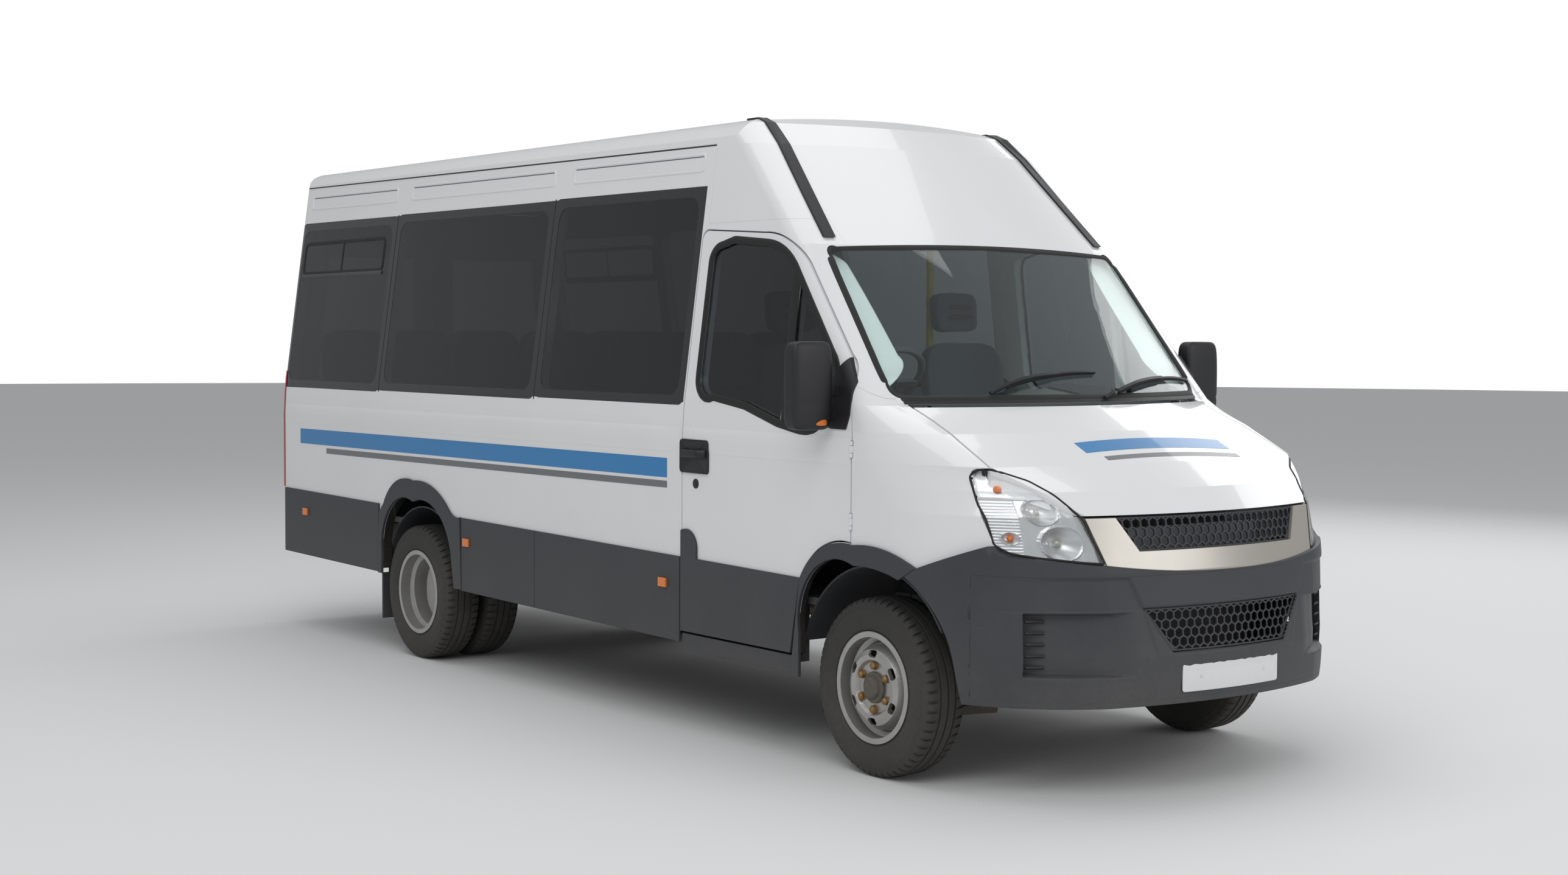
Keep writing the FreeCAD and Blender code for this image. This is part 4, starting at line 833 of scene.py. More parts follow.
def side_bead(name, outline, panels, side, body, width, height, radius, material, closed=True, out=0.0):
    """A bead along an (x, z) outline in millimetres, laid on panels from the side."""
    tree = surface(*panels)
    corners = [Vector((x * MM, 0, z * MM)) for x, z in outline]
    line = fine_line(rounded_corners(corners, radius, closed=closed), BEAD_STEP, closed)
    if closed:
        line = moved_out(line, out)
    hits = [hit_side(tree, p.x, p.z, side) for p in line]
    return bead(name, hits, body, width, height, material, closed)


def front_bead(name, outline, panels, body, width, height, radius, material):
    """A closed bead along a (y, z) outline in millimetres, laid on panels from the front."""
    tree = surface(*panels)
    corners = [Vector((0, y * MM, z * MM)) for y, z in outline]
    line = fine_line(rounded_corners(corners, radius), BEAD_STEP, True)
    hits = [hit_front(tree, p.y, p.z) for p in line]
    return bead(name, hits, body, width, height, material, True)


for tag, side in SIDES:
    door = "door_" + tag
    seal = side_bead("door_window_seal_" + tag, outline_of(DOOR_OPENING), [door], side, door, width=0.034,
                     height=0.005, radius=0.008, material=rubber_seal, out=SEAL_OUT)
    bar = side_bead("quarter_bar_" + tag, QUARTER_BAR, [door], side, door, width=0.054, height=0.004,
                    radius=0.01, material=rubber_seal, closed=False)
screen_seal = front_bead("windscreen_seal", SCREEN_EDGE, SCREEN_PANELS, "body", width=0.032, height=0.004,
                         radius=0.05, material=rubber_seal)
print("seals laid")

# %% [markdown]
# ## Body pressings
# The side has a pressed crease below the windows, which runs on across the door. It is a long strip of
# painted panel that rises a few millimetres and blends back at both edges and ends, so it takes the light as
# a pressing does.

# %% Body pressings
PROUD = 0.0035
FILM = 0.0004
# A strip rises to its full height over this share of its length
END_FADE = 0.04
# Cross-sections from the lower edge up: share of the width, share of the height
CREASE = [(-0.5, 0.0), (-0.42, 0.15), (-0.3, 0.5), (-0.15, 0.8), (0.0, 0.95), (0.25, 1.0), (0.35, 0.9),
          (0.42, 0.5), (0.46, 0.2), (0.5, 0.0)]
CREASE_W = 0.11


def side_shell(tag):
    """The CAD nodes of one body side; the left one has the sliding door in it."""
    return ["side_" + tag] + (["sliding_door"] if tag == "left" else [])


def pressing(name, ends, panels, side, body, width, profile, paint, step=0.04):
    """A painted strip along a straight (x, z) run, with a cross-section of shares of its width and height."""
    tree = surface(*panels)
    (x0, z0), (x1, z1) = ends
    parts = max(2, int(abs(x1 - x0) / step))
    rows = []
    for i in range(parts + 1):
        t = i / parts
        fade = min(1.0, t / END_FADE if t < 0.5 else (1 - t) / END_FADE)
        row = []
        for across, height in profile:
            point, normal = hit_side(tree, x0 + (x1 - x0) * t, z0 + (z1 - z0) * t + across * width, side)
            if point is None:
                break
            row.append(point + normal * (FILM + PROUD * height * fade))
        if len(row) == len(profile):
            rows.append(row)
    verts, faces = join_rings(rows, closed_ring=False)
    obj = add_piece(name, verts, flipped(faces) if side > 0 else faces, paint, body, 60)
    return obj


for tag, side in SIDES:
    pressing("side_crease_" + tag, ((-3.165, 1.235), (0.978, 1.258)), side_shell(tag), side, "body", CREASE_W,
             CREASE, looks["body_white"])
    pressing("door_crease_" + tag, ((1.012, 1.258), (2.160, 1.264)), ["door_" + tag], side, "door_" + tag,
             CREASE_W, CREASE, looks["body_white"])
print("pressings laid")

# %% [markdown]
# ## Door handles and locks
# A pull handle sits in a rounded black surround, with the grip bridging it and a round lock below. The
# surround is a plate with a raised rim; the grip is a bar whose ends curve down into it.

# %% Door handles
HANDLE = {"x": 1.094, "z": 1.190, "w": 0.215, "h": 0.145}
# The surround's rings: share of its size, share of its rim's height
SURROUND_RINGS = ((1.0, 0.0), (0.985, 1.0), (0.93, 1.0), (0.90, 0.7), (0.0, 0.7))
RIM_PROUD, RIM_CORNER = 0.008, 0.02
# The grip: half its length, its place above the handle's middle, its reach and its half width and thickness
GRIP = {"half": 0.088, "up": 0.012, "reach": 0.030, "w": 0.017, "t": 0.008}
LOCK = (1.103, 1.074)
LOCK_PROFILE = [(0.0, 0.021), (0.003, 0.0205), (0.004, 0.018), (0.004, 0.012), (0.0055, 0.0105),
                (0.0055, 0.0005)]


def handle_surround(tag, side, tree):
    """A rounded plate on the door with a raised rim and a lower middle."""
    cx, cz = HANDLE["x"], HANDLE["z"]
    rings = []
    for scale, proud in SURROUND_RINGS:
        half_w, half_h = HANDLE["w"] / 2 * scale, HANDLE["h"] / 2 * scale
        corners = [Vector((cx + sx * half_w, 0, cz + sz * half_h)) for sx, sz in QUARTERS]
        ring = []
        for p in rounded_corners(corners, RIM_CORNER * max(scale, 0.01), 6):
            point, normal = hit_side(tree, p.x, p.z, side)
            if point is None:
                # Off the door's edge: the height comes from a place nearer the middle
                point, normal = hit_side(tree, cx + (p.x - cx) * 0.8, cz + (p.z - cz) * 0.8, side)
                point = Vector((p.x, point.y, p.z))
            ring.append(point + normal * (RIM_PROUD * proud + 0.0003))
        rings.append(ring)
    verts, faces = join_rings(rings)
    faces = flipped(faces) if side > 0 else faces
    obj = add_piece("handle_recess_" + tag, verts, faces, looks["trim_black"], "door_" + tag, 40)


def handle_grip(tag, side, tree, steps=16):
    """The bar that is pulled, with both ends curving down into the surround."""
    points, normals = [], []
    for i in range(steps + 1):
        t = i / steps
        x = HANDLE["x"] + GRIP["half"] * (2 * t - 1)
        point, normal = hit_side(tree, x, HANDLE["z"] + GRIP["up"], side)
        lift = GRIP["reach"] * min(1.0, math.sin(math.pi * t) * 1.6) + 0.004
        points.append(point + normal * min(lift, GRIP["reach"]))
        normals.append(normal)
    section = [(GRIP["w"] * across, GRIP["t"] * out) for across, out in circle(1.0, 12)]
    verts, faces = sweep(points, normals, section)
    obj = add_piece("door_grip_" + tag, verts, faces, looks["trim_black"], "door_" + tag, 50)


def lock_barrel(tag, side, tree):
    """A round lock below the handle."""
    point, _ = hit_side(tree, *LOCK, side)
    verts, faces = turned(LOCK_PROFILE, point, 32, side)
    obj = add_piece("door_lock_" + tag, verts, faces, looks["trim_black"], "door_" + tag, 30)


for tag, side in SIDES:
    door_tree = surface("door_" + tag)
    handle_surround(tag, side, door_tree)
    handle_grip(tag, side, door_tree)
    lock_barrel(tag, side, door_tree)
print("handles fitted")

# %% [markdown]
# ## Headlamps
# Behind each clear lens sits one pressed reflector: ribs at the outer end, two deep bowls inboard, a small
# amber lamp low down and a turn-signal chamber across the top. It is a fine sheet that follows the lens, set
# back by a depth that a formula gives at each point. A black seal runs round the lens where it meets the
# panels.

# %% Headlamps
lens_tree = surface("headlamp_lenses")
# The right lens seen from the front, as (y, z) in millimetres
LAMP_EDGE = [(-871, 1189), (-852, 1219), (-826, 1222), (-724, 1180), (-670, 1128), (-616, 1045), (-566, 884),
             (-640, 890), (-763, 905), (-827, 918), (-858, 945), (-874, 1100)]
# Reflector bowls: middle y, middle z, radius, depth of the bowl; the last one is the amber lamp's
BOWLS = [(0.727, 1.068, 0.044, 0.050), (0.683, 0.957, 0.058, 0.060), (0.815, 0.972, 0.021, 0.022)]
AMBER_BOWL = 2
# How far the reflector's parts lie behind the lens
LEDGE, BACK, MIDDLE_BACK, CHAMBER_BACK = 0.008, 0.010, 0.014, 0.034
RIB_HEIGHT, RIB_PITCH, FLUTE_PITCH = 0.003, 0.011, 0.045
CHAMBER_Z, CHAMBER_EDGE = 1.110, 0.006
RIBS_Y = 0.785
REFLECTOR = {"inner": 0.545, "outer": 0.878, "low": 0.872, "high": 1.228, "cell": 0.003}
SIGNAL = {"y": 0.811, "z": 1.146, "r": 0.014, "back": 0.024}
LAMP_PANELS = ["headlamp_lenses", "front_wings", "bonnet", "front_bumper", "grille_surround"]


def inside_outline(outline, u, v):
    """Whether a point lies inside a closed outline, by counting the edges beyond it."""
    odd = False
    for (u0, v0), (u1, v1) in zip(outline, outline[1:] + outline[:1]):
        if (v0 > v) != (v1 > v) and u < (u1 - u0) * (v - v0) / (v1 - v0) + u0:
            odd = not odd
    return odd


def height_field(name, box, cell, tree, depth_at, material, body, keep=None):
    """A sheet seen from the front, set back from a CAD surface by depth_at(y, z); keep(y, z) drops cells."""
    y0, y1, z0, z1 = box
    cols, rows = round(abs(y1 - y0) / cell), round((z1 - z0) / cell)
    index, verts, faces = {}, [], []
    for r in range(rows + 1):
        for c in range(cols + 1):
            y, z = y0 + (y1 - y0) * c / cols, z0 + (z1 - z0) * r / rows
            if keep and not keep(y, z):
                continue
            point, _ = hit_front(tree, y, z)
            if point is not None:
                index[r, c] = len(verts)
                verts.append(Vector((point.x - depth_at(y, z), y, z)))
    for r in range(rows):
        for c in range(cols):
            ring = [(r, c), (r, c + 1), (r + 1, c + 1), (r + 1, c)]
            if all(key in index for key in ring):
                faces.append(tuple(index[key] for key in ring))
    return add_piece(name, verts, faces, material, body, 50)


def reflector_depth(y, z):
    """How far the reflector lies behind the lens: ribs at the outer end, bowls inboard, a chamber above."""
    y = abs(y)
    if z > CHAMBER_Z + CHAMBER_EDGE:
        return CHAMBER_BACK
    if z > CHAMBER_Z:
        return LEDGE
    for middle_y, middle_z, r, deep in BOWLS:
        reach = math.hypot(y - middle_y, z - middle_z) / r
        if reach < 1.0:
            return BACK + deep * (1 - reach * reach)
        if reach < 1.10:
            return LEDGE
    if y > RIBS_Y:
        return BACK + RIB_HEIGHT * abs(math.sin(z * math.pi / RIB_PITCH))
    return MIDDLE_BACK + RIB_HEIGHT * abs(math.sin(y * math.pi / FLUTE_PITCH))


def bulb(name, x, y, z, r, side, look):
    """A bulb as a ball drawn out a little to the front and back; its ends are tiny rings."""
    rings = []
    for j in range(11):
        tilt = math.pi * (j / 10 - 0.5) * 0.998
        along, reach = r * 1.3 * math.sin(tilt), r * math.cos(tilt)
        rings.append([Vector((x + along, side * y + across, z + up)) for across, up in circle(reach, 20)])
    verts, faces = join_rings(rings)
    obj = add_piece(name, verts, faces, looks[look], "body", 60)


for tag, side in SIDES:
    edge = [(-side * y, z) for y, z in LAMP_EDGE]
    outline = [(y * MM, z * MM) for y, z in edge]
    box = (side * REFLECTOR["inner"], side * REFLECTOR["outer"], REFLECTOR["low"], REFLECTOR["high"])
    reflector = height_field("lamp_reflector_" + tag, box, REFLECTOR["cell"], lens_tree, reflector_depth,
                             looks["lamp_body"], "body", lambda y, z: inside_outline(outline, y, z))
    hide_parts("headlamp_housings")
    for i, (y, z, r, deep) in enumerate(BOWLS):
        point, _ = hit_front(lens_tree, side * y, z)
        look, share = ("marker_orange", 0.5) if i == AMBER_BOWL else ("grille_silver", 0.2)
        bulb("lamp_bulb_%d_%s" % (i, tag), point.x - deep * 0.75, y, z, r * share, side, look)
    point, _ = hit_front(lens_tree, side * SIGNAL["y"], SIGNAL["z"])
    bulb("signal_bulb_" + tag, point.x - SIGNAL["back"], SIGNAL["y"], SIGNAL["z"], SIGNAL["r"], side,
         "marker_orange")
    seal = front_bead("lamp_seal_" + tag, edge, LAMP_PANELS, "body", width=0.009, height=0.003, radius=0.012,
                      material=rubber_seal)
print("lamps filled")

# %% [markdown]
# ## Side window frames
# The dark panes are bonded edge to edge, with a thin black joint between them. Each has a fired black border
# round a clear field with rounded corners, and the rear pane holds a two-light sliding hopper in a slim black
# frame.

# %% Side windows
# The hopper's frame, the bar between its lights and the sill under it, as (x, z) in millimetres
HOPPER = [(-3112, 2043), (-2087, 2050), (-2087, 2222), (-3112, 2216)]
HOPPER_BAR = [(-2605, 2050), (-2605, 2216)]
HOPPER_SILL = [(-3117, 2030), (-2085, 2036)]
# Each pane, rear x to front x, and its clear field: rear x, front x, bottom z, top z
PANES = [((-3186, -1960), (-3146, -2006, 1428, 2292)), ((-1956, -295), (-1910, -341, 1435, 2300)),
         ((-291, 986), (-245, 940, 1445, 2306))]
PANE_JOINTS = [(-1958, 1388, 2343), (-293, 1396, 2350)]
FIELD_CORNER = 0.07
# The band of panes starts here and both its edges rise towards the front
BAND = {"x": -3190, "run": 4180, "low": 1386, "low_rise": 32, "high": 2332, "high_rise": 18}
BORDER_LIFT = 0.0008
fired_black = finish("fired_black", (0.010, 0.010, 0.011), (0.03, 0.07), coat=0.3, dust=(0.9, 0.1),
                     mottle=1.5)


def band_z(x, edge):
    """Height of the band's low or high edge at x."""
    return BAND[edge] + (x - BAND["x"]) * BAND[edge + "_rise"] / BAND["run"]


def pane_border(name, outer, field, radius, tree, side, steps=30):
    """The fired black border of a bonded pane, from its edge in to a clear field with rounded corners."""
    x0, x1, z0, z1 = [value * MM for value in field]
    inner = [(x0, z0), (x1, z0), (x1, z1), (x0, z1)]
    rings = [[], [], []]
    for k in range(4):
        for i in range(steps):
            t = (1 - math.cos(math.pi * i / steps)) / 2
            (ax, az), (bx, bz) = outer[k], outer[(k + 1) % 4]
            (cx, cz), (dx, dz) = inner[k], inner[(k + 1) % 4]
            edge = ((ax + (bx - ax) * t) * MM, (az + (bz - az) * t) * MM)
            x, z = cx + (dx - cx) * t, cz + (dz - cz) * t
            core = (min(max(x, x0 + radius), x1 - radius), min(max(z, z0 + radius), z1 - radius))
            away = math.hypot(x - core[0], z - core[1])
            if away > radius:
                x = core[0] + (x - core[0]) * radius / away
                z = core[1] + (z - core[1]) * radius / away
            for ring, share in zip(rings, (0.0, 0.5, 1.0)):
                px, pz = edge[0] + (x - edge[0]) * share, edge[1] + (z - edge[1]) * share
                point, normal = hit_side(tree, px, pz, side)
                if point is None:
                    near, _, _, _ = tree.find_nearest(Vector((px, side * 0.95, pz)))
                    point = Vector((px, near.y, pz))
                    normal = Vector((0, side, 0))
                ring.append(point + normal * BORDER_LIFT)
    verts, faces = join_rings(rings)
    return add_piece(name, verts, flipped(faces) if side > 0 else faces, fired_black, "body", 40)


for tag, side in SIDES:
    hopper = side_bead("hopper_frame_" + tag, HOPPER, ["side_glass"], side, "body", width=0.022, height=0.005,
                       radius=0.035, material=rubber_seal)
    bar = side_bead("hopper_bar_" + tag, HOPPER_BAR, ["side_glass"], side, "body", width=0.014, height=0.004,
                    radius=0.01, material=rubber_seal, closed=False)
    sill = side_bead("hopper_sill_" + tag, HOPPER_SILL, ["side_glass"], side, "body", width=0.026,
                     height=0.007, radius=0.01, material=looks["cab_grey"], closed=False)
    for i, (x, z0, z1) in enumerate(PANE_JOINTS):
        joint = side_bead("pane_joint_%d_%s" % (i, tag), [(x, z0), (x, z1)], side_shell(tag) + ["side_glass"],
                          side, "body", width=0.008, height=0.0022, radius=0.01, material=rubber_seal,
                          closed=False)
    glass_tree = surface("side_glass", *side_shell(tag))
    for i, ((x0, x1), field) in enumerate(PANES):
        outer = [(x0, band_z(x0, "low")), (x1, band_z(x1, "low")),
                 (x1, band_z(x1, "high")), (x0, band_z(x0, "high"))]
        border = pane_border("pane_border_%d_%s" % (i, tag), outer, field, FIELD_CORNER, glass_tree, side)
print("window frames laid")

# %% [markdown]
# ## Roof edge and roof-side pressings
# A thin gutter joint runs the whole length where the moulded roof meets the sides. Between it and the
# windows, three long recesses show as a soft raised rim and a thin grey line of painted shade just under
# their upper edge.

# %% Roof lines
# The gutter's rear and front end, as (x, z) in millimetres; it falls a little towards the front
GUTTER = [(-3195, 2545.97), (1020, 2525.045)]
# Each recess from rear x to front x, and the heights of its rear and front end
RECESSES = [(-3091, -2004), (-1823, -329), (-148, 944)]
RECESS_LOW, RECESS_HIGH = (2421, 2419), (2493, 2491)
# The line of painted shade under the recess's upper edge: how far it stays from the ends and below the rim
SHADE_LINE_IN, SHADE_LINE_DOWN = 12, 11

for tag, side in SIDES:
    panels = ["side_" + tag, "roof"] + side_shell(tag)[1:]
    gutter = side_bead("gutter_" + tag, GUTTER, panels, side, "body", width=0.007, height=0.0022, radius=0.01,
                       material=looks["steel_dark"], closed=False)
    for i, (x0, x1) in enumerate(RECESSES):
        outline = [(x0, RECESS_LOW[0]), (x1, RECESS_LOW[1]), (x1, RECESS_HIGH[1]), (x0, RECESS_HIGH[0])]
        rim = side_bead("recess_rim_%d_%s" % (i, tag), outline, panels, side, "body", width=0.016,
                        height=0.0035, radius=0.02, material=looks["body_white"])
        # A thin grey bead of painted shade runs just under each recess's upper edge
        shadow = [(x0 + SHADE_LINE_IN, RECESS_HIGH[0] - SHADE_LINE_DOWN), (x1 - SHADE_LINE_IN, RECESS_HIGH[1] - SHADE_LINE_DOWN)]
        line = side_bead("recess_shade_line_%d_%s" % (i, tag), shadow, panels, side, "body", width=0.004,
                         height=0.0010, radius=0.01, material=looks["cab_grey"], closed=False)
print("roof lines laid")

# %% [markdown]
# ## Bumper fittings
# The bumper's middle section stands a little proud of its ends, above a thin joint. Side pockets with
# louvres, lips round the lower opening and a blank white plate on two screws finish it. The front face is a
# fine sheet, set back from the CAD bumper by a depth that a formula gives at each point; a cut copy of the
# CAD bumper makes the rest.

# %% Bumper fittings
PLATE = {"z": 0.456, "w": 0.520, "h": 0.111, "corner": 0.012}
# The plate's rings: how far out from the bumper, how far in from its edge
PLATE_RINGS = ((0.001, 0.0), (0.003, 0.0), (0.0038, 0.002))
SCREW_Y, SCREW_R, SCREW_OUT = 0.17, 0.007, 0.0035
# Rings of a screw's domed head and its recess: share of the radius, how far out
SCREW_RINGS = ((1.0, 0.0), (1.0, 0.0015), (0.85, 0.0028), (0.5, 0.0034), (0.18, 0.0034), (0.16, 0.0016),
               (0.01, 0.0014))


def blank_plate(tree):
    """A thin bare plate, bowed to the bumper's curve."""
    half_w, half_h = PLATE["w"] / 2, PLATE["h"] / 2
    middle_x, end_x = [hit_front(tree, y, PLATE["z"])[0].x for y in (0.0, half_w)]
    fall = middle_x - end_x
    rings = []
    for out, inset in PLATE_RINGS:
        w, h = half_w - inset, half_h - inset
        corners = [Vector((0, sy * w, PLATE["z"] + sz * h)) for sy, sz in QUARTERS]
        line = fine_line(rounded_corners(corners, PLATE["corner"]), 0.04, True)
        rings.append([Vector((middle_x - fall * (p.y / half_w) ** 2 + out, p.y, p.z)) for p in line])
    verts, faces = join_rings(rings)
    count = len(rings[0])
    faces.append(tuple(range(len(verts) - count, len(verts))))
    obj = add_piece("blank_front_plate", verts, faces, looks["body_white"], "body", 30)
    bm = bmesh.new()
    bm.from_mesh(obj.data)
    bmesh.ops.triangulate(bm, faces=[f for f in bm.faces if len(f.verts) > 4])
    bmesh.ops.recalc_face_normals(bm, faces=bm.faces)
    bm.to_mesh(obj.data)
    bm.free()


def plate_screw(name, place):
    """A low domed screw with a small recess, facing forward."""
    rings = [[place + Vector((out, across, up)) for across, up in circle(SCREW_R * size, 16)]
             for size, out in SCREW_RINGS]
    verts, faces = join_rings(rings)
    obj = add_piece(name, verts, faces, looks["body_white"], "body", 30)


# The part of the bumper that the fine sheet makes
FACE = {"y": 0.928, "z0": 0.380, "z1": 0.836, "cell": 0.004}
# Side pocket seen from the front: outer and inner y, bottom and top z, and its depth at the louvres
POCKET = (0.815, 0.500, 0.475, 0.702)
POCKET_DEPTH = 0.050
# The lower opening: its bottom and top z, and its half-width at each
OPENING_LOW, OPENING_HIGH, OPENING_HALF_LOW, OPENING_HALF_HIGH = 0.555, 0.715, 0.301, 0.418
LIP_DEPTH, LIP_OUT, LIP_IN = 0.020, -0.010, 0.006
SEAM_Z, SEAM_DEPTH = 0.713, 0.003
# How far the bumper's ends stand back from its middle, above the seam and below it
STEP_ABOVE, STEP_BELOW = 0.009, 0.005
LOUVRES, LOUVRE_Y, LOUVRE_LOW, LOUVRE_PITCH, LOUVRE_BACK = 5, 0.775, 0.505, 0.042, 0.036
LOUVRE_SIZE = (0.014, 0.072, 0.008)


def smooth_step(low, high, value):
    """0 at low, 1 at high, and an even curve between; low may be the larger."""
    t = min(1.0, max(0.0, (value - low) / (high - low)))
    return t * t * (3 - 2 * t)


def pocket_depth(y, z):
    """Deep at its outer end, where the louvres are, and running out to nothing inboard at the bottom."""
    outer, inner, low, high = POCKET
    inset = min(smooth_step(outer + 0.004, outer - 0.006, y), smooth_step(high + 0.004, high - 0.006, z),
                smooth_step(low - 0.006, low + 0.010, z), smooth_step(inner - 0.06, inner + 0.06, y))
    slope = smooth_step(inner - 0.10, outer - 0.06, y)
    return POCKET_DEPTH * inset * (0.25 + 0.75 * slope)


def band_depth(y, z):
    """The ends of the upper band stand back from its middle, behind a slanting edge."""
    above = z > SEAM_Z
    edge = OPENING_HALF_HIGH + (0.060 * (z - SEAM_Z) / 0.125 if above else -0.05 * (SEAM_Z - z) / 0.16)
    share = smooth_step(edge, edge + 0.012, y) * smooth_step(0.90, 0.70, y)
    return STEP_ABOVE * share if above else STEP_BELOW * share * smooth_step(0.50, 0.60, z)


def opening_depth(y, z):
    """The lower opening's lips turn in to meet the mesh."""
    rise = (z - OPENING_LOW) / (OPENING_HIGH - OPENING_LOW)
    half = OPENING_HALF_LOW + (OPENING_HALF_HIGH - OPENING_HALF_LOW) * rise
    edge = min(half - y, z - OPENING_LOW, OPENING_HIGH - z)
    return LIP_DEPTH * smooth_step(LIP_OUT, LIP_IN, edge) if edge > LIP_OUT else 0.0


def bumper_depth(y, z):
    """How far the fine sheet lies behind the CAD bumper; nothing at its border, where it meets the rest."""
    y = abs(y)
    border = min(smooth_step(FACE["y"], FACE["y"] - 0.03, y), smooth_step(FACE["z1"], FACE["z1"] - 0.012, z),
                 smooth_step(FACE["z0"], FACE["z0"] + 0.012, z))
    seam = SEAM_DEPTH * smooth_step(0.004, 0.001, abs(z - SEAM_Z))
    return border * (pocket_depth(y, z) + band_depth(y, z) + opening_depth(y, z) + seam)


def bumper_rim():
    """The CAD bumper's own mesh with its front face cut away, to take the fine face."""
    obj = placed("bumper_rim", nodes["front_bumper"].data.copy())
    cutter_size = (0.9, 2 * FACE["y"], FACE["z1"] - FACE["z0"])
    cutter = moulded("bumper_cutter", cutter_size, (3.25, 0, (FACE["z0"] + FACE["z1"]) / 2),
                     looks["bumper_charcoal"], "body", bevel=0.0001, steps=1)
    cut = obj.modifiers.new("cut", "BOOLEAN")
    cut.operation = "DIFFERENCE"
    cut.solver = "EXACT"
    cut.object = cutter
    bpy.context.view_layer.update()
    mesh = bpy.data.meshes.new_from_object(obj.evaluated_get(bpy.context.evaluated_depsgraph_get()))
    obj.modifiers.clear()
    obj.data = mesh
    mesh.materials.clear()
    mesh.materials.append(looks["bumper_charcoal"])
    mesh.polygons.foreach_set("use_smooth", [True] * len(mesh.polygons))
    mesh.set_sharp_from_angle(angle=math.radians(35))
    bpy.data.objects.remove(cutter)
    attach(obj, "body")
    return obj


bumper_tree = surface("front_bumper")
rim = bumper_rim()
face = height_field("bumper_face", (-FACE["y"], FACE["y"], FACE["z0"], FACE["z1"]), FACE["cell"], bumper_tree,
                    bumper_depth, looks["bumper_charcoal"], "body",
                    lambda y, z: opening_depth(abs(y), z) < LIP_DEPTH - 0.0005)
for part in (rim, face):
    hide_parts("front_bumper")
print("bumper face quads:", len(face.data.polygons))
blank_plate(bumper_tree)
for tag, side in SIDES:
    point, _ = hit_front(bumper_tree, side * SCREW_Y, PLATE["z"])
    plate_screw("plate_screw_" + tag, point + Vector((SCREW_OUT, 0, 0)))
for tag, side in SIDES:
    turn = Matrix.Rotation(side * 0.5, 3, "Z") @ Matrix.Rotation(-0.4, 3, "Y")
    for k in range(LOUVRES):
        z = LOUVRE_LOW + LOUVRE_PITCH * k
        point, _ = hit_front(bumper_tree, side * LOUVRE_Y, z)
        slat = moulded("bumper_louvre_%d_%s" % (k, tag), LOUVRE_SIZE,
                       (point.x - LOUVRE_BACK, side * LOUVRE_Y, z), looks["trim_black"], "body", 0.002, 2,
                       turn)
print("bumper dressed")

# %% [markdown]
# ## Air duct
# The honeycomb meshes of the grille and the bumper are kept as they are. Behind the lower one a tapering
# black duct leads back to the radiator, so that no daylight shows through the cells.

# %% Air duct
# Corners of the duct's mouth and of its end, seen from the front as (y, z)
DUCT_MOUTH = [(-0.425, 0.722), (-0.308, 0.548), (0.308, 0.548), (0.425, 0.722)]
DUCT_END = [(-0.36, 0.760), (-0.34, 0.520), (0.34, 0.520), (0.36, 0.760)]
DUCT_END_X = 3.040
# The mouth starts this far behind the bumper, whose face is found just outside the opening
DUCT_BACK, DUCT_ASIDE, DUCT_ABOVE = 0.022, 1.04, 0.012


def air_duct(tree):
    """A tapering black duct from the lower opening back to the radiator, closed behind."""
    rings = []
    for share in (0.0, 0.5, 1.0):
        ring = []
        for (y0, z0), (y1, z1) in zip(DUCT_MOUTH, DUCT_END):
            above = DUCT_ABOVE if z0 > SEAM_Z else -DUCT_ABOVE
            point, _ = hit_front(tree, y0 * DUCT_ASIDE, z0 + above)
            x = point.x - DUCT_BACK
            y, z = y0 + (y1 - y0) * share, z0 + (z1 - z0) * share
            ring.append(Vector((x + (DUCT_END_X - x) * share, y, z)))
        rings.append(ring)
    verts, faces = join_rings(rings)
    faces.append(tuple(range(len(verts) - len(DUCT_END), len(verts))))
    obj = add_piece("air_duct", verts, faces, looks["trim_black"], "body", 30)


air_duct(bumper_tree)
print("air duct laid")

# %% [markdown]
# ## Cowl
# Between the foot of the windscreen and the bonnet's rear edge lies a black moulded cowl. It laps over the
# scuttle from under the glass and rolls down towards the bonnet, with a gap left for the bonnet to swing.

# %% Cowl
COWL_LEVELS = (1.465, 1.460, 1.455, 1.450, 1.4455)
COWL_HALF_W, COWL_STEPS, COWL_PROUD = 0.815, 60, 0.0035
# The cowl's flat top: its height, and how far its two edges lie behind the first level, under the glass
COWL_TOP, COWL_BACK = 1.4735, (0.060, 0.010)
SCUTTLE_X = 2.15


def cowl_panel():
    """A strip that follows the scuttle's front and turns back over its top."""
    tree = surface("scuttle")
    rings = []
    for i in range(COWL_STEPS + 1):
        y = -COWL_HALF_W + 2 * COWL_HALF_W * i / COWL_STEPS
        ring = []
        for z in COWL_LEVELS:
            point, _ = hit_front(tree, y, z)
            if point is not None and point.x > SCUTTLE_X:
                ring.append(Vector((point.x + COWL_PROUD, y, z)))
        if len(ring) == len(COWL_LEVELS):
            top = [Vector((ring[0].x - back, y, COWL_TOP)) for back in COWL_BACK]
            rings.append(top + ring)
    verts, faces = join_rings(rings, closed_ring=False)
    obj = add_piece("cowl_panel", verts, faces, looks["trim_black"], "body", 40)


cowl_panel()
print("cowl laid")

# %% [markdown]
# ## Mirrors
# Each mirror head is a rounded shell on two short arms, with a parting line low down, an amber indicator at
# its front foot and a glass in the face that looks back. The shell is a cube whose points move onto a
# formula's rounded form; the arms and the base on the door are the CAD model's own faces.

# %% Mirrors
MIRROR = {"x0": 1.990, "x1": 2.078, "y0": 1.000, "y1": 1.190, "z0": 1.342, "z1": 1.687}
HEAD_CENTRE = [(MIRROR[a + "0"] + MIRROR[a + "1"]) / 2 for a in "xyz"]
HEAD_SIZE = [MIRROR[a + "1"] - MIRROR[a + "0"] for a in "xyz"]
# How square the forms are: the power of a rounded box
HEAD_POWER, LAMP_POWER, GLASS_POWER = 7, 5, 8
SHELL_CUTS = 26
FRONT_BULGE = 0.30
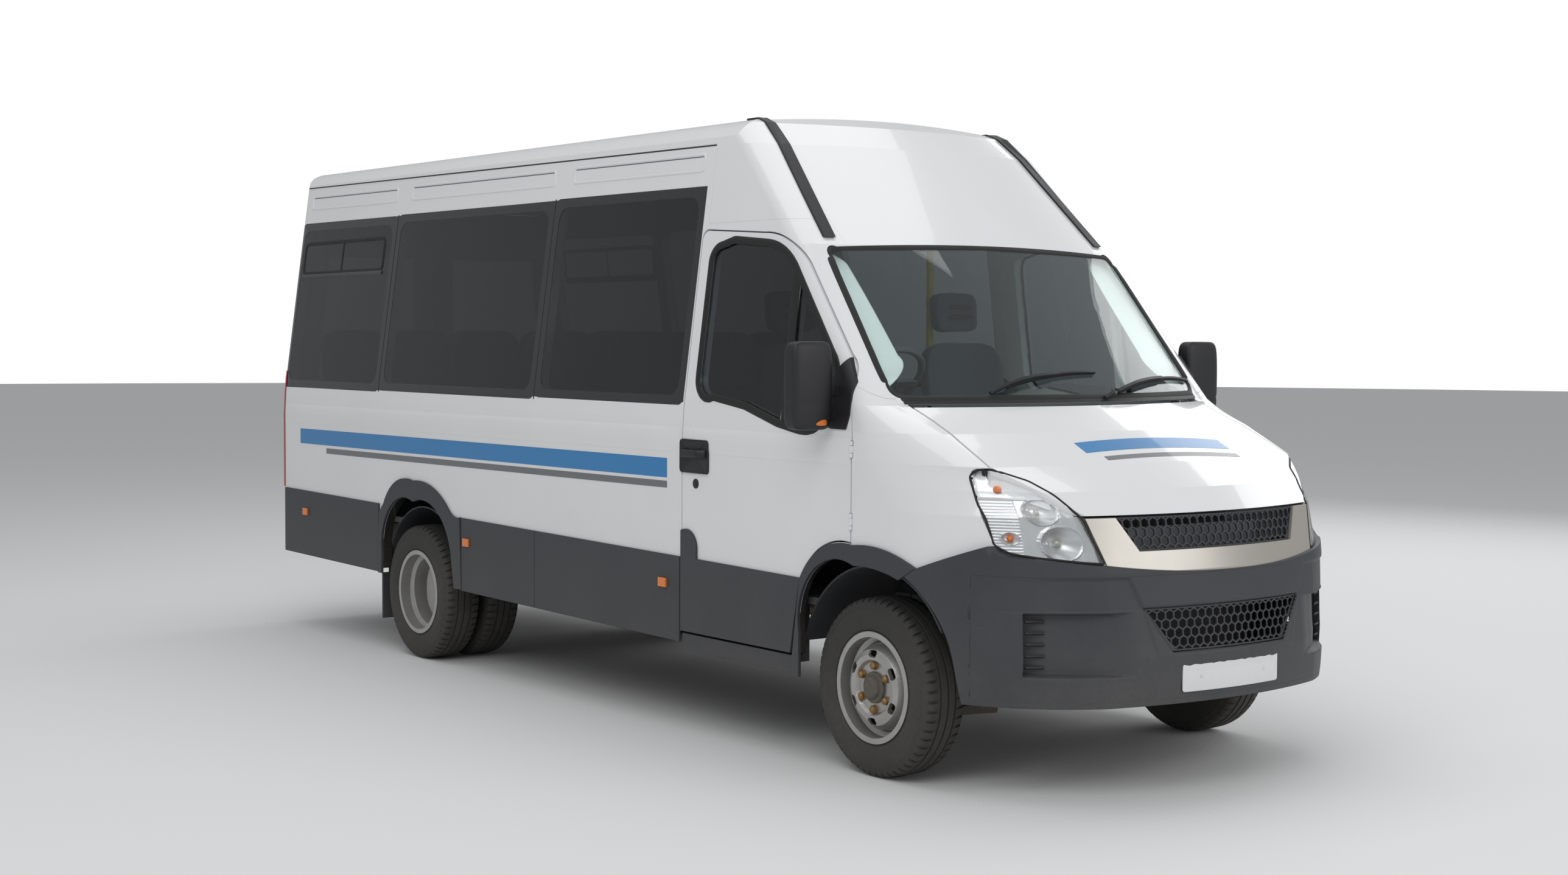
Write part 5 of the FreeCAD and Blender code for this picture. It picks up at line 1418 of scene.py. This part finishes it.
# The parting line: its place from -1 at the foot to 1 at the top, its depth and its width
PARTING = {"at": -0.42, "depth": 0.045, "width": 0.035}
INDICATOR = {"size": (0.024, 0.075, 0.040), "ahead": 0.026, "in": 0.030, "up": 0.036}
GLASS = {"size": (0.004, 0.160, 0.300), "out": 0.0005, "up": 0.005}
# The arms are the mirror's CAD faces inside this half-width
ARM_Y = 1.001


def rounded_shell(name, side, body, size, place, power, look, parting=False):
    """A box rounded by a power formula, with a bulging front and, on the head, a parting line."""
    verts, faces = box_grid(SHELL_CUTS)
    shaped = []
    for x, y, z in verts:
        shrink = (abs(x) ** power + abs(y) ** power + abs(z) ** power) ** (-1 / power)
        x, y, z = x * shrink, y * shrink, z * shrink
        bulge = 1 - FRONT_BULGE * (y * y + z * z) / 2 if x > 0 else 1.0
        groove = math.exp(-((z - PARTING["at"]) / PARTING["width"]) ** 2) if parting else 0.0
        waist = 1 - PARTING["depth"] * groove
        shaped.append(Vector((place[0] + x * bulge * waist * size[0] / 2,
                              side * (place[1] + y * waist * size[1] / 2), place[2] + z * size[2] / 2)))
    obj = add_piece(name, shaped, flipped(faces) if side < 0 else faces, looks[look], body, 60)
    return obj


def carried_part(name, node, keep, look, body):
    """A copy of those faces of a CAD node whose middle passes a test."""
    source = nodes[node].data
    kept = [tuple(p.vertices) for p in source.polygons if keep(p.center)]
    used = sorted({k for face in kept for k in face})
    index = {k: i for i, k in enumerate(used)}
    verts = [source.vertices[k].co.copy() for k in used]
    faces = [tuple(index[k] for k in face) for face in kept]
    obj = add_piece(name, verts, faces, looks[look], body, 35)
    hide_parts(node)
    return obj


for tag, side in SIDES:
    door = "door_" + tag
    x, y, z = HEAD_CENTRE
    head = rounded_shell("mirror_head_" + tag, side, door, HEAD_SIZE, HEAD_CENTRE, HEAD_POWER, "trim_black",
                         True)
    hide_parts("mirror_" + tag)
    carried_part("mirror_arm_" + tag, "mirror_" + tag, lambda c: abs(c.y) < ARM_Y, "trim_black", door)
    lamp_place = (x + INDICATOR["ahead"], y - INDICATOR["in"], MIRROR["z0"] + INDICATOR["up"])
    rounded_shell("mirror_lamp_" + tag, side, door, INDICATOR["size"], lamp_place, LAMP_POWER,
                  "marker_orange")
    glass_place = (MIRROR["x0"] + GLASS["out"], y, z + GLASS["up"])
    rounded_shell("mirror_glass_" + tag, side, door, GLASS["size"], glass_place, GLASS_POWER, "lamp_body")
print("mirrors fitted")

# %% [markdown]
# ## Plain stripes
# Two plain bands, blue over grey, run along each side under the crease, and a shorter pair crosses the
# bonnet. They are thin films that follow the panels.

# %% Stripes
STRIPE_ACROSS = (-0.5, -0.25, 0.0, 0.25, 0.5)
STRIPE_SECTION = [(across, 0.18) for across in STRIPE_ACROSS]
STRIPE_RISE, BONNET_LIFT = 0.010, 0.0008
FROM_ABOVE = 3.0
stripe_blue = finish("blue_film", (0.020, 0.22, 0.52), (0.18, 0.28), coat=0.4, dust=(0.95, 0.25), mottle=3.0)
stripe_grey = finish("grey_film", (0.16, 0.17, 0.18), (0.2, 0.3), coat=0.4, dust=(0.95, 0.25), mottle=3.0)
# Side bands: colour, height of the middle, width, rear and front x
SIDE_STRIPES = (("blue", 1.120, 0.085, -2.95, 0.880, stripe_blue),
                ("grey", 1.048, 0.030, -2.60, 0.880, stripe_grey))
# Bonnet bands: colour, x of the middle, width, right and left y
BONNET_STRIPES = (("blue", 2.760, 0.070, -0.34, 0.46, stripe_blue),
                  ("grey", 2.840, 0.026, -0.28, 0.46, stripe_grey))


def bonnet_stripe(name, x_mid, width, y0, y1, paint, steps=40):
    """A film across the bonnet, found by lines cast from above."""
    tree = surface("bonnet")
    rows = []
    for i in range(steps + 1):
        y = y0 + (y1 - y0) * i / steps
        row = []
        for across in STRIPE_ACROSS:
            start = Vector((x_mid + across * width, y, FROM_ABOVE))
            point, _, _, _ = tree.ray_cast(start, Vector((0, 0, -1)))
            row.append(point + Vector((0, 0, BONNET_LIFT)))
        rows.append(row)
    verts, faces = join_rings(rows, closed_ring=False)
    obj = add_piece(name, verts, faces, paint, "bonnet", 60)


for label, z, width, x0, x1, paint in SIDE_STRIPES:
    for tag, side in SIDES:
        ends = ((x0, z - STRIPE_RISE), (x1, z + STRIPE_RISE))
        pressing("stripe_%s_%s" % (label, tag), ends, side_shell(tag), side, "body", width, STRIPE_SECTION,
                 paint)
for label, *band in BONNET_STRIPES:
    bonnet_stripe("bonnet_stripe_" + label, *band)
print("stripes laid")

# %% [markdown]
# ## Rear doors
# The rear doors carry a black pull handle on the right one, a blank plate on the left one, and two hinge
# covers at each outer edge. The red lamps beside them have ribs across them.

# %% Rear door fittings
HINGE_LEVELS, HINGE_Y, HINGE_COVER = (0.850, 1.700), 0.780, (0.014, 0.055, 0.080)
TAIL_RIBS, RIB_LOW, RIB_STEP, RIB_Y, RIB_SIZE = 15, 0.850, 0.042, 0.93, (0.003, 0.050, 0.006)


def hit_rear(tree, y, z):
    """The point where a level line from behind meets the surface."""
    point, _, _, _ = tree.ray_cast(Vector((FROM_REAR, y, z)), Vector((1, 0, 0)))
    return point


def rear_block(name, door, size, y, z, look, bevel):
    """A moulded block on a rear door, sunk 1 mm into it."""
    point = hit_rear(surface(door), y, z)
    obj = moulded(name, size, (point.x - size[0] / 2 + MM, y, z), looks[look], door, bevel)


rear_block("rear_handle", "rear_door_right", (0.020, 0.150, 0.045), -0.130, 1.120, "trim_black", 0.008)
rear_block("rear_plate", "rear_door_left", (0.006, PLATE["w"], PLATE["h"]), 0.390, 0.900, "body_white", 0.002)
lamp_tree = surface("tail_lamps")
for tag, side in SIDES:
    for k, z in enumerate(HINGE_LEVELS):
        rear_block("rear_hinge_cover_%d_%s" % (k, tag), "rear_door_" + tag, HINGE_COVER, side * HINGE_Y, z,
                   "body_white", 0.005)
    for k in range(TAIL_RIBS):
        z = RIB_LOW + RIB_STEP * k
        point = hit_rear(lamp_tree, side * RIB_Y, z)
        if point is not None:
            rib = moulded("tail_lamp_rib_%02d_%s" % (k, tag), RIB_SIZE, (point.x - MM, side * RIB_Y, z),
                          looks["lamp_red"], "body", 0.001, 2)
print("rear doors fitted")

# %% [markdown]
# ## Seats
# Each seat is a foam cushion and a back under woven cloth, crowned in the middle and pulled in along two
# seams. The shape is a box of many faces whose points move onto a dome and are pinched at the seams. All the
# passenger seats share one mesh; the two cab seats are wider and have headrests.

# %% Seats
ROWS = (-2.880, -2.130, -1.290, -0.520, 0.260)
SEAT_Y = (-0.660, -0.240, 0.655)
CAB_SEATS = ((1.190, -0.470), (1.190, 0.470))
SEAT_H = 0.110
SEAT_Z, CAB_SEAT_Z = [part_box(node)[0].z + SEAT_H for node in ("passenger_seats", "front_seats")]
BENCH_W, CAB_W = 0.410, 0.480
BACK_TILT, REST_TILT = 0.17, 0.10
SEAMS = (-0.62, 0.62)
PINCH_W, PINCH_DEPTH = 0.04, 0.009
# The two bars in a headrest's opening: their height above the seat, their size
SLOT_BARS, SLOT_BAR_SIZE = (0.690, 0.735), (0.012, 0.130, 0.018)


def cushion(size, place, tilt, crown, seams, cuts=16):
    """A crowned foam block: size, middle of its underside, tilt about Y, crown height and seam places."""
    verts, faces = box_grid(cuts)
    sx, sy, sz = size
    turn = Matrix.Rotation(tilt, 3, "Y")
    shaped = []
    for x, y, z in verts:
        reach = max(abs(x), abs(y))
        if reach > 0:
            ease = reach / (abs(x) ** 5 + abs(y) ** 5) ** 0.2
            x, y = x * ease, y * ease
        edge = math.sqrt(max(0.0, 1 - min(1.0, abs(x)) ** 6)) * math.sqrt(max(0.0, 1 - min(1.0, abs(y)) ** 6))
        height = 0.70 + 0.30 * edge
        swell = 0.95 + 0.05 * math.sqrt(max(0.0, 1 - z ** 4))
        lift = 0.0
        if z > 0.99:
            pinch = sum(math.exp(-((y - seam) / PINCH_W) ** 2) for seam in seams)
            lift = crown * (1 - x * x) * (1 - y * y) - PINCH_DEPTH * pinch * (1 - abs(x) ** 6)
        point = Vector((x * sx / 2 * swell, y * sy / 2 * swell, (z * height + 1) * sz / 2 + lift))
        shaped.append(Vector(place) + turn @ point)
    return shaped, faces


def seat_mesh(name, width, headrest):
    """A cushion and a back, and for the cab a headrest, as one mesh with its origin on the cushion."""
    upright = -math.pi / 2
    blocks = [cushion((0.440, width - 0.012, 0.112), (0.245, 0, -0.108), -0.03, 0.010, SEAMS),
              cushion((0.560, width - 0.014, 0.090), (0.022, 0, 0.300), upright - BACK_TILT, -0.004, SEAMS)]
    if headrest:
        blocks.append(cushion((0.180, 0.250, 0.075), (-0.070, 0, 0.715), upright - REST_TILT, -0.004, (), 10))
    verts, faces = [], []
    for block_verts, block_faces in blocks:
        faces += [tuple(k + len(verts) for k in face) for face in block_faces]
        verts += block_verts
    mesh = bpy.data.meshes.new(name)
    mesh.from_pydata(verts, [], faces)
    mesh.polygons.foreach_set("use_smooth", [True] * len(mesh.polygons))
    mesh.materials.append(looks["seat_fabric"])
    return mesh


def place_seat(name, mesh, x, y, z, node):
    """One seat, which stands for the CAD seats of its node."""
    obj = placed(name, mesh)
    obj.location = (x, y, z)
    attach(obj, "body")
    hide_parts(node)


bench = seat_mesh("passenger_seat", BENCH_W, False)
driver = seat_mesh("cab_seat", CAB_W, True)
# The front row has no single seat on the left, where the sliding door opens
places = [(x, y) for x in ROWS for y in SEAT_Y if x < ROWS[-1] or y < 0]
for i, (x, y) in enumerate(places):
    place_seat("passenger_seat_%02d" % i, bench, x, y, SEAT_Z, "passenger_seats")
for i, (x, y) in enumerate(CAB_SEATS):
    place_seat("cab_seat_%d" % i, driver, x, y, CAB_SEAT_Z, "front_seats")
    for k, up in enumerate(SLOT_BARS):
        place = (x - 0.052 - REST_TILT * (up - SLOT_BARS[0]), y, CAB_SEAT_Z + up)
        slot_bar = moulded("headrest_slot_%d_%d" % (i, k), SLOT_BAR_SIZE, place, looks["trim_black"], "body",
                           0.005, 3, Matrix.Rotation(-REST_TILT, 3, "Y"))
print("seats:", len(places) + len(CAB_SEATS), "triangles each:", 2 * len(bench.polygons))

# %% [markdown]
# ## Wipers
# A wiper is a cranked arm on a pivot, with a slim sprung blade clipped under its tip. Arm, blade and spring
# are bars laid over the windscreen: the blade on the glass, the spring bowed above it and the arm arched over
# both.

# %% Wipers
# Each wiper: its pivot and its blade's tip as (x, y), and how far along the arm reaches
WIPERS = (("right", (2.362, -0.452), (2.330, 0.150), 0.60), ("left", (2.440, 0.100), (2.205, 0.830), 0.66))
BLADE_START = 0.16
GLASS_TOP = 1.75
# Each bar: its heights above the glass along it, half its width, its thickness, its steps
ARM_BAR = ((0.010, 0.026, 0.030, 0.024, 0.016), 0.009, 0.009, 24)
BLADE_BAR = ((0.002, 0.0015, 0.002), 0.0045, 0.010, 40)
SPRING_BAR = ((0.011, 0.016, 0.018, 0.016, 0.011), 0.006, 0.004, 40)


def along(start, end, share):
    """The (x, y) at this share of the way from start to end."""
    return tuple(a + (b - a) * share for a, b in zip(start, end))


def glass_point(tree, x, y):
    """The point and upward normal where an upright line from above meets the surface."""
    point, normal, _, _ = tree.ray_cast(Vector((x, y, 4.0)), Vector((0, 0, -1)))
    if point is None:
        return None, None
    return point, normal if normal.z > 0 else -normal


def bar_over(name, tree, start, end, lifts, half, thick, steps):
    """A bar over the glass, whose height above it runs through the lifts."""
    points, normals = [], []
    for i in range(steps + 1):
        t = i / steps
        point, normal = glass_point(tree, *along(start, end, t))
        if point is None or point.z > GLASS_TOP:
            continue
        where = t * (len(lifts) - 1)
        k = min(int(where), len(lifts) - 2)
        lift = lifts[k] + (lifts[k + 1] - lifts[k]) * (where - k)
        points.append(point + normal * lift)
        normals.append(normal)
    section = [(-half, 0.0), (-half * 0.7, thick), (half * 0.7, thick), (half, 0.0)]
    verts, faces = sweep(points, normals, section)
    obj = add_piece(name, verts, faces, looks["trim_black"], "body", 40)
    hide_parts("wipers")


screen_tree = surface("windscreen", "scuttle", "bonnet")
for tag, pivot, tip, share in WIPERS:
    bar_over("wiper_arm_" + tag, screen_tree, pivot, along(pivot, tip, share), *ARM_BAR)
    blade_start = along(pivot, tip, BLADE_START)
    bar_over("wiper_blade_" + tag, screen_tree, blade_start, tip, *BLADE_BAR)
    bar_over("wiper_spring_" + tag, screen_tree, blade_start, tip, *SPRING_BAR)
print("wipers fitted")
